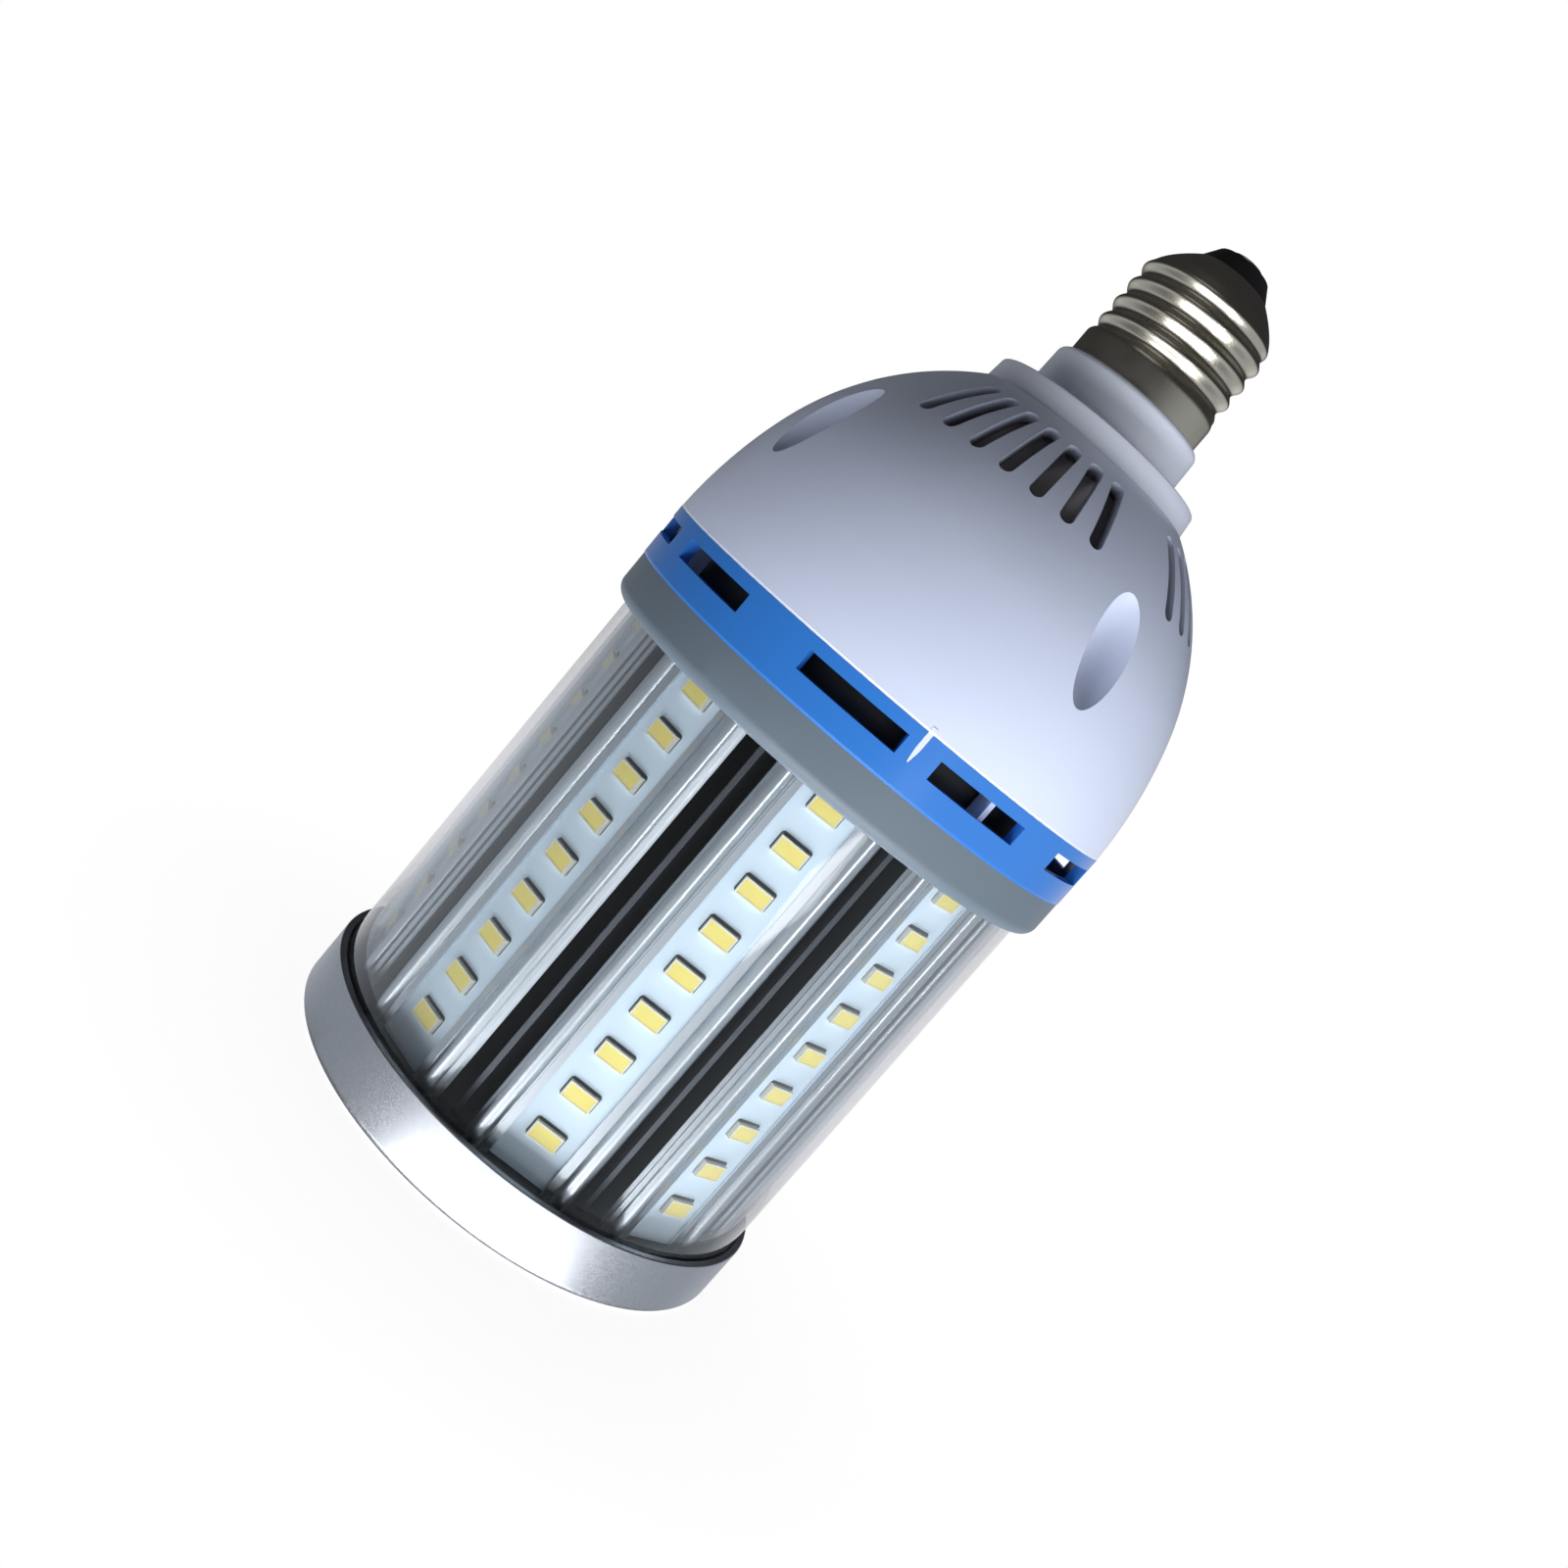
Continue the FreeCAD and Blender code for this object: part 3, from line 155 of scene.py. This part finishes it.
# Plain plastics, paints and coatings: colour, roughness
PLASTICS = {
    "black_plastic": ((0.02, 0.021, 0.023), 0.5),
    "seat_plastic": ((0.115, 0.117, 0.12), 0.5),
    "film_grey": ((0.5, 0.48, 0.5), 0.6),
    "silicone": ((0.6, 0.61, 0.62), 0.6),
    "led_package": ((0.88, 0.86, 0.74), 0.4),
    "grey_paint": ((0.13, 0.172, 0.215), 0.5),
    "adapter_plastic": ((0.8, 0.855, 0.99), 0.34),
    "black_insulator": ((0.018, 0.018, 0.02), 0.25),
    "driver_green": ((0.02, 0.16, 0.07), 0.35),
    "ferrite": ((0.035, 0.035, 0.04), 0.5),
    "coil_tape": ((0.72, 0.55, 0.08), 0.3),
    "capacitor_sleeve": ((0.02, 0.04, 0.12), 0.25),
    "film_yellow": ((0.75, 0.52, 0.08), 0.3),
    "varistor_blue": ((0.04, 0.1, 0.42), 0.3),
    "component_black": ((0.02, 0.02, 0.02), 0.4),
    "resistor_green": ((0.12, 0.25, 0.15), 0.5),
    # Red insulation, darkened by painted shade for the dim inside of the dome
    "lead_red": ((0.2, 0.012, 0.012), 0.5),
    "lead_white": ((0.68, 0.68, 0.66), 0.4),
}

# Plain metals: colour, roughness, size and depth of the grain
METALS = {
    "satin_aluminium": ((0.62, 0.645, 0.7), 0.38, 0.00012, 0.0000015),
    "screw_steel": ((0.6, 0.6, 0.61), 0.3, 0.0002, 0.000002),
    "contact_metal": ((0.72, 0.72, 0.7), 0.28, 0.0002, 0.000002),
    "standoff_brass": ((0.72, 0.54, 0.24), 0.25, 0.0002, 0.000002),
}

# Nodes whose finish isn't the one of their slot
NODE_FINISHES = {"seat_ring": "seat_plastic"}

# Studio, by the direction of a ray. Its bright lower half goes dark between two levels, for
# matt surfaces and in reflections, and reaches higher on the right. Reflections are dark
# again at the foot, and brightest behind the lamp.
AMBIENT_EDGE = (-0.7, -0.1)
MIRRORED_EDGE = (-0.25, 0.05)
HORIZON_TILT = -0.45
MIRRORED_FOOT = (-0.45, -0.7)
BEHIND_EDGE = (0.6, 0.95)
BELOW_COLOUR = (0.55, 0.56, 0.6)
MIRRORED_COLOUR = (0.38, 0.41, 0.44)
BEHIND_COLOUR = (0.8, 0.79, 0.81)
FOOT_COLOUR = (0.08, 0.08, 0.085)
ABOVE_COLOUR = (0.03, 0.03, 0.032)
WHITE = (1.0, 1.0, 1.0)

# Lamps: name, place, size, power, turn, and whether glossy surfaces mirror it
LAMP_AIM = (0.0, 0.0, 0.1)
LAMPS = (
    ("key", (0.128, -0.476, -0.53), (1.1, 0.5), 10.8, 0.0, True),
    ("side", (0.93, -0.34, 0.24), (1.2, 1.2), 4.4, 0.0, False),
    ("window", (0.54, -0.86, -0.1), (0.16, 0.1), 0.6, 25.0, True),
    ("back", (-0.3, 0.85, 0.3), (1.4, 1.0), 8.5, 0.0, False),
    ("top", (-0.3, -0.5, 0.9), (0.5, 0.5), 0.25, 0.0, True),
)

# Floor: its size, its finish, and how far from the axis the lamp's shadow fades out
FLOOR_RADIUS = 1.2
FLOOR_SIDES = 96
FLOOR_COLOUR = (0.93, 0.93, 0.93)
FLOOR_ROUGHNESS = 0.9
FLOOR_GLOW = 0.55
SHADOW_REACH = (0.045, 0.09)
SHADOW_SHARE = 0.22

# Film round the driver: its wall's radius and height at each row, bottom up
FILM_ROWS = ((0.0265, 0.1132), (0.0265, 0.131), (0.022, 0.148))
FILM_THICK = 0.0003
FILM_SIDES = 64

# Meshes: how close points are merged, and the angle that stays a sharp corner
MERGE_DISTANCE = 0.000001
NODE_CORNER = 30.0
FILM_CORNER = 40.0

# The body that every piece rides
ROOT = "root"


# Node helpers

def new_finish(name):
    finish = bpy.data.materials.new(name)
    finish.use_nodes = True
    return finish, finish.node_tree, finish.node_tree.nodes["Principled BSDF"]


def add(tree, kind, **settings):
    node = tree.nodes.new(kind)
    for key, value in settings.items():
        setattr(node, key, value)
    return node


def feed(tree, node, socket, value):
    """Link a socket, or set its own value. A colour gets its alpha here."""
    target = node.inputs[socket]
    if isinstance(value, bpy.types.NodeSocket):
        tree.links.new(value, target)
    elif target.type == "RGBA":
        target.default_value = (*value, 1.0)
    else:
        target.default_value = value


def math_node(tree, operation, *values):
    node = add(tree, "ShaderNodeMath", operation=operation)
    for socket, value in enumerate(values):
        feed(tree, node, socket, value)
    return node.outputs[0]


def blend_colour(tree, share, first, second):
    node = add(tree, "ShaderNodeMix", data_type="RGBA")
    feed(tree, node, "Factor", share)
    feed(tree, node, 6, first)
    feed(tree, node, 7, second)
    return node.outputs[2]


def span(tree, value, low, high, out_low=0.0, out_high=1.0):
    """Map the range from low to high to another one, and clamp it there."""
    node = add(tree, "ShaderNodeMapRange")
    feed(tree, node, "Value", value)
    feed(tree, node, "From Min", low)
    feed(tree, node, "From Max", high)
    feed(tree, node, "To Min", out_low)
    feed(tree, node, "To Max", out_high)
    return node.outputs["Result"]


def object_place(tree):
    return add(tree, "ShaderNodeTexCoord").outputs["Object"]


def speckle(tree, size, detail=NOISE_DETAIL, stretch=UNSTRETCHED):
    """Noise whose grains are about size metres across."""
    place = object_place(tree)
    if stretch != UNSTRETCHED:
        mapping = add(tree, "ShaderNodeMapping")
        feed(tree, mapping, "Vector", place)
        feed(tree, mapping, "Scale", stretch)
        place = mapping.outputs["Vector"]
    noise = add(tree, "ShaderNodeTexNoise")
    feed(tree, noise, "Vector", place)
    feed(tree, noise, "Scale", 1.0 / size)
    feed(tree, noise, "Detail", detail)
    return noise.outputs["Fac"]


def patches(tree, size, low, high):
    """A level that wanders between two values, in patches about size metres across."""
    return span(tree, speckle(tree, size), *NOISE_RANGE, low, high)


def relief(tree, shader, height, depth, lip=None):
    """Fine grain of a surface, and a rounded lower lip where one starts at a height."""
    bump = add(tree, "ShaderNodeBump")
    feed(tree, bump, "Height", height)
    feed(tree, bump, "Distance", depth)
    if lip is not None:
        parts = add(tree, "ShaderNodeSeparateXYZ")
        feed(tree, parts, 0, object_place(tree))
        rounding = add(tree, "ShaderNodeBump")
        feed(tree, rounding, "Height", span(tree, parts.outputs[2], lip, lip + LIP_HEIGHT))
        feed(tree, rounding, "Distance", LIP_DEPTH)
        feed(tree, bump, "Normal", rounding.outputs["Normal"])
    feed(tree, shader, "Normal", bump.outputs["Normal"])


def axis_distance(tree):
    """Distance of a point from the lamp's axis, and the point's three coordinates."""
    parts = add(tree, "ShaderNodeSeparateXYZ")
    feed(tree, parts, 0, object_place(tree))
    x, y, z = parts.outputs
    square = math_node(tree, "MULTIPLY", x, x)
    square = math_node(tree, "MULTIPLY_ADD", y, y, square)
    return math_node(tree, "SQRT", square), (x, y, z)


def folded_azimuth(tree, x, y, start, step):
    """Angle to the nearest of the places that repeat every step, in radians."""
    azimuth = math_node(tree, "ARCTAN2", x, math_node(tree, "MULTIPLY", y, -1.0))
    azimuth = math_node(tree, "SUBTRACT", azimuth, math.radians(start))
    half = math.radians(step / 2)
    return math_node(tree, "WRAP", azimuth, half, -half)


# Finishes

def moulded_plastic(name, colour, roughness, depth=PLASTIC_RELIEF, coat=0.0,
                    cloud=PLASTIC_CLOUD, lip=None):
    """Plastic with a fine grain, whose tone and roughness wander by the share cloud."""
    finish, tree, shader = new_finish(name)
    tone_grains, roughness_grains = PLASTIC_PATCHES
    shade = [channel * (1.0 - cloud) for channel in colour]
    tone = speckle(tree, PLASTIC_GRAIN * tone_grains)
    feed(tree, shader, "Base Color", blend_colour(tree, tone, shade, colour))
    feed(tree, shader, "Roughness", patches(tree, PLASTIC_GRAIN * roughness_grains,
                                            roughness * (1.0 - cloud),
                                            roughness * (1.0 + cloud)))
    feed(tree, shader, "Coat Weight", coat)
    feed(tree, shader, "Coat Roughness", COAT_ROUGHNESS)
    relief(tree, shader, speckle(tree, PLASTIC_GRAIN), depth, lip)
    return finish


def plain_metal(name, colour, roughness, grain, depth):
    finish, tree, shader = new_finish(name)
    tone_grains, roughness_grains = METAL_PATCHES
    smoothest, roughest = METAL_ROUGHNESS_SPREAD
    shade = [channel * METAL_SHADE for channel in colour]
    feed(tree, shader, "Metallic", 1.0)
    tone = speckle(tree, grain * tone_grains)
    feed(tree, shader, "Base Color", blend_colour(tree, tone, shade, colour))
    feed(tree, shader, "Roughness", patches(tree, grain * roughness_grains,
                                            roughness * smoothest, roughness * roughest))
    relief(tree, shader, speckle(tree, grain), depth)
    return finish


def nickel_finish():
    """Rolled and plated sheet: soft bright highlights between dark bands."""
    finish, tree, shader = new_finish("nickel")
    feed(tree, shader, "Metallic", 1.0)
    tone = speckle(tree, NICKEL_PATCH, detail=1.0)
    feed(tree, shader, "Base Color", blend_colour(tree, tone, *NICKEL_TONES))
    feed(tree, shader, "Roughness", span(tree, tone, *NOISE_RANGE, *NICKEL_ROUGHNESS))
    return finish


def clear_tube_finish():
    """Clear plastic wall: lets light through, and mirrors the studio where it turns away."""
    finish, tree, shader = new_finish("clear_plastic")
    feed(tree, shader, "Base Color", TUBE_TINT)
    feed(tree, shader, "Metallic", 1.0)
    feed(tree, shader, "Roughness", patches(tree, TUBE_PATCH, *TUBE_ROUGHNESS))
    wall = add(tree, "ShaderNodeBsdfTransparent")
    feed(tree, wall, "Color", TUBE_WALL_TINT)
    edge = add(tree, "ShaderNodeLayerWeight")
    steep = math_node(tree, "POWER", edge.outputs["Facing"], TUBE_EDGE_POWER)
    mix = add(tree, "ShaderNodeMixShader")
    feed(tree, mix, 0, span(tree, steep, 0.0, 1.0, *TUBE_MIRROR))
    feed(tree, mix, 1, wall.outputs[0])
    feed(tree, mix, 2, shader.outputs[0])
    feed(tree, tree.nodes["Material Output"], "Surface", mix.outputs[0])
    return finish


def heatsink_finish():
    """Extruded aluminium: die lines along the lamp, dull in the channels and darkened there
    by painted shade.
    """
    finish, tree, shader = new_finish("heatsink_aluminium")
    feed(tree, shader, "Metallic", 1.0)
    radius, _ = axis_distance(tree)
    lines = speckle(tree, DIE_LINE_WIDTH, detail=0.0, stretch=DIE_LINE_STRETCH)
    bright = blend_colour(tree, lines, *RAIL_TONES)
    # Painted shade: the channels below the rails are coloured dark
    deep = span(tree, radius, CHANNEL_FLOOR_R, FIN_TIP_R)
    dark = blend_colour(tree, deep, *CHANNEL_SHADE_TONES)
    rail = span(tree, radius, FIN_TIP_R, RAIL_R)
    feed(tree, shader, "Base Color", blend_colour(tree, rail, dark, bright))
    feed(tree, shader, "Roughness", span(tree, rail, 0.0, 1.0, *HEATSINK_ROUGHNESS))
    relief(tree, shader, lines, DIE_LINE_RELIEF)
    return finish


def led_board_finish():
    """White solder mask, coloured dark in the sunk windows round the LEDs."""
    finish, tree, shader = new_finish("board_white")
    radius, (x, y, _) = axis_distance(tree)
    aside = folded_azimuth(tree, x, y, COLUMN_AZIMUTH, COLUMN_STEP)
    distance = math_node(tree, "MULTIPLY", radius, math_node(tree, "COSINE", aside))
    # Dark colour in the sunk windows round the LEDs, below the board's face
    window_dark = math_node(tree, "LESS_THAN", distance, WINDOW_DARK_BELOW)
    white = blend_colour(tree, speckle(tree, MASK_PATCH), *MASK_TONES)
    feed(tree, shader, "Base Color", blend_colour(tree, window_dark, white, WINDOW_DARK))
    feed(tree, shader, "Roughness", MASK_ROUGHNESS)
    relief(tree, shader, speckle(tree, MASK_GRAIN), MASK_RELIEF)
    return finish


def phosphor_finish():
    """Yellow silicone that lets a little light in."""
    finish, tree, shader = new_finish("phosphor")
    feed(tree, shader, "Base Color",
         blend_colour(tree, speckle(tree, PHOSPHOR_PATCH), *PHOSPHOR_TONES))
    feed(tree, shader, "Roughness", PHOSPHOR_ROUGHNESS)
    feed(tree, shader, "Subsurface Weight", PHOSPHOR_DEPTH_SHARE)
    feed(tree, shader, "Subsurface Scale", PHOSPHOR_DEPTH)
    relief(tree, shader, speckle(tree, PHOSPHOR_GRAIN), PHOSPHOR_RELIEF)
    return finish


def arc_depth(tree, radius, height, arc):
    """How deep a point lies under one of the dome's arcs."""
    centre_radius, centre_height, arc_radius = arc
    across = math_node(tree, "SUBTRACT", radius, centre_radius)
    up = math_node(tree, "SUBTRACT", height, centre_height)
    square = math_node(tree, "MULTIPLY", across, across)
    square = math_node(tree, "MULTIPLY_ADD", up, up, square)
    return math_node(tree, "SUBTRACT", arc_radius, math_node(tree, "SQRT", square))


def dome_finish():
    """Glossy white moulding, with painted shade darkening the inside of the air slots."""
    finish = moulded_plastic("white_plastic", DOME_WHITE, GLOSS_ROUGHNESS,
                             depth=DOME_RELIEF, coat=GLOSS_COAT, cloud=DOME_CLOUD,
                             lip=DOME_FOOT)
    tree = finish.node_tree
    shader = tree.nodes["Principled BSDF"]
    outside = shader.inputs["Base Color"].links[0].from_socket
    radius, (x, y, height) = axis_distance(tree)
    low = arc_depth(tree, radius, height, DOME_LOW_ARC)
    high = arc_depth(tree, radius, height, DOME_HIGH_ARC)
    above = math_node(tree, "GREATER_THAN", height, DOME_BEND_HEIGHT)
    below = math_node(tree, "SUBTRACT", 1.0, above)
    depth = math_node(tree, "ADD", math_node(tree, "MULTIPLY", high, above),
                      math_node(tree, "MULTIPLY", low, below))
    aside = folded_azimuth(tree, x, y, VENT_GROUPS_AZIMUTH, VENT_GROUP_STEP)
    group = math_node(tree, "LESS_THAN", math_node(tree, "ABSOLUTE", aside),
                      math.radians(VENT_GROUP_HALF))
    slot = math_node(tree, "MULTIPLY", group,
                     math_node(tree, "GREATER_THAN", height, VENT_LOW))
    # Painted shade: a slot's wall gets darker the deeper it lies under the dome's skin
    shade = math_node(tree, "MULTIPLY", slot, span(tree, depth, *VENT_SHADE_DEPTHS))
    feed(tree, shader, "Base Color", blend_colour(tree, shade, outside, VENT_SHADE))
    return finish


def blue_ring_finish():
    return moulded_plastic("blue_plastic", RING_BLUE, GLOSS_ROUGHNESS,
                           depth=RING_RELIEF, coat=GLOSS_COAT, lip=BLUE_FOOT)


SPECIAL_FINISHES = {
    "clear_plastic": clear_tube_finish,
    "heatsink_aluminium": heatsink_finish,
    "board_white": led_board_finish,
    "phosphor": phosphor_finish,
    "blue_plastic": blue_ring_finish,
    "white_plastic": dome_finish,
    "nickel": nickel_finish,
}


def make_finish(name):
    if name in SPECIAL_FINISHES:
        return SPECIAL_FINISHES[name]()
    if name in METALS:
        return plain_metal(name, *METALS[name])
    return moulded_plastic(name, *PLASTICS[name])


# Pieces

def new_piece(name, mesh):
    piece = bpy.data.objects.new(name, mesh)
    bpy.context.scene.collection.objects.link(piece)
    return piece


def smooth(mesh, corner):
    mesh.shade_smooth()
    mesh.set_sharp_from_angle(angle=math.radians(corner))


def smooth_copy(node):
    """The node's own mesh, merged and shaded smooth up to a corner's angle."""
    mesh = frame["nodes"][node].data.copy()
    work = bmesh.new()
    work.from_mesh(mesh)
    bmesh.ops.remove_doubles(work, verts=work.verts, dist=MERGE_DISTANCE)
    work.to_mesh(mesh)
    work.free()
    if "custom_normal" in mesh.attributes:
        mesh.attributes.remove(mesh.attributes["custom_normal"])
    smooth(mesh, NODE_CORNER)
    piece = new_piece(node + "_finished", mesh)
    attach(piece, ROOT)
    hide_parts(node)
    return piece


def dress():
    """Swap each node for a smooth copy with its finish."""
    made = {}
    for part in frame["record"]["subparts"]:
        node, slot = part["node"], part["material_slot"]
        name = NODE_FINISHES.get(node, slot)
        if name not in made:
            made[name] = make_finish(name)
        piece = smooth_copy(node)
        piece.data.materials.clear()
        piece.data.materials.append(made[name])


def insulation_film():
    """Film wrapped round the driver, so that the dome's slots look at a plain wall."""
    mesh = bpy.data.meshes.new("insulation_film")
    work = bmesh.new()
    rings = []
    for thickness in (0.0, FILM_THICK):
        for radius, height in FILM_ROWS:
            reach = radius - thickness
            ring = []
            for side in range(FILM_SIDES):
                turn = 2 * math.pi * side / FILM_SIDES
                place = (reach * math.cos(turn), reach * math.sin(turn), height)
                ring.append(work.verts.new(place))
            rings.append(ring)
    outer, inner = rings[:len(FILM_ROWS)], rings[len(FILM_ROWS):]
    loop = outer + inner[::-1] + outer[:1]
    for lower, upper in zip(loop, loop[1:]):
        for side in range(FILM_SIDES):
            after = (side + 1) % FILM_SIDES
            work.faces.new((lower[side], lower[after], upper[after], upper[side]))
    bmesh.ops.recalc_face_normals(work, faces=work.faces)
    work.to_mesh(mesh)
    work.free()
    smooth(mesh, FILM_CORNER)
    mesh.materials.append(make_finish("film_grey"))
    piece = new_piece("insulation_film", mesh)
    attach(piece, ROOT)


# Studio

def floor():
    """Pale floor that keeps the lamp's shadow and fades into the white backdrop."""
    mesh = bpy.data.meshes.new("floor")
    work = bmesh.new()
    bmesh.ops.create_circle(work, cap_ends=True, segments=FLOOR_SIDES, radius=FLOOR_RADIUS)
    work.to_mesh(mesh)
    work.free()
    finish, tree, shader = new_finish("floor")
    feed(tree, shader, "Base Color", FLOOR_COLOUR)
    feed(tree, shader, "Roughness", FLOOR_ROUGHNESS)
    feed(tree, shader, "Specular IOR Level", 0.0)
    radius, _ = axis_distance(tree)
    seen = add(tree, "ShaderNodeLightPath").outputs["Is Camera Ray"]
    fade = span(tree, radius, *SHADOW_REACH, SHADOW_SHARE, 0.0)
    feed(tree, shader, "Alpha", math_node(tree, "MULTIPLY", fade, seen))
    feed(tree, shader, "Emission Color", WHITE)
    feed(tree, shader, "Emission Strength", math_node(tree, "MULTIPLY", seen, FLOOR_GLOW))
    mesh.materials.append(finish)
    piece = new_piece("floor", mesh)


def studio_world():
    """Bright below and to the right, dark above, as the photograph's studio shows."""
    world = bpy.data.worlds.new("studio")
    world.use_nodes = True
    tree = world.node_tree
    rays = add(tree, "ShaderNodeLightPath").outputs
    mirrored = math_node(tree, "MAXIMUM", rays["Is Glossy Ray"], rays["Is Transmission Ray"])
    way = add(tree, "ShaderNodeSeparateXYZ")
    feed(tree, way, 0, add(tree, "ShaderNodeTexCoord").outputs["Generated"])
    x, y, z = way.outputs
    right = math_node(tree, "MAXIMUM", x, 0.0)
    level = math_node(tree, "MULTIPLY_ADD", right, HORIZON_TILT, z)
    ambient = blend_colour(tree, span(tree, level, *AMBIENT_EDGE), BELOW_COLOUR, ABOVE_COLOUR)
    shown = blend_colour(tree, span(tree, y, *BEHIND_EDGE), MIRRORED_COLOUR, BEHIND_COLOUR)
    shown = blend_colour(tree, span(tree, z, *MIRRORED_FOOT), shown, FOOT_COLOUR)
    shown = blend_colour(tree, span(tree, level, *MIRRORED_EDGE), shown, ABOVE_COLOUR)
    tone = blend_colour(tree, mirrored, ambient, shown)
    tone = blend_colour(tree, rays["Is Camera Ray"], tone, WHITE)
    backdrop = tree.nodes["Background"]
    feed(tree, backdrop, "Color", tone)
    feed(tree, backdrop, "Strength", 1.0)
    bpy.context.scene.world = world


def studio_light(name, place, size, power, turn, mirrored):
    light = bpy.data.lights.new(name, "AREA")
    light.shape = "RECTANGLE"
    light.size, light.size_y = size
    light.energy = power
    lamp = new_piece(name, light)
    lamp.location = place
    lamp.visible_glossy = mirrored
    facing = (Vector(LAMP_AIM) - Vector(place)).to_track_quat("-Z", "Y").to_matrix()
    roll = Matrix.Rotation(math.radians(turn), 3, "Z")
    lamp.rotation_euler = (facing @ roll).to_euler()


def camera():
    data = bpy.data.cameras.new("camera")
    data.lens = CAMERA_LENS
    data.sensor_width = CAMERA_SENSOR
    data.shift_x, data.shift_y = CAMERA_SHIFT
    view = new_piece("camera", data)
    view.location = CAMERA_PLACE
    level = Euler((math.radians(90.0 - CAMERA_DOWN), 0.0, 0.0)).to_matrix()
    roll = Matrix.Rotation(math.radians(CAMERA_ROLL), 3, "Z")
    view.rotation_euler = (level @ roll).to_euler()
    bpy.context.scene.camera = view


camera()
dress()
insulation_film()
floor()
studio_world()
for settings in LAMPS:
    studio_light(*settings)
bpy.context.scene.view_settings.view_transform = "Standard"
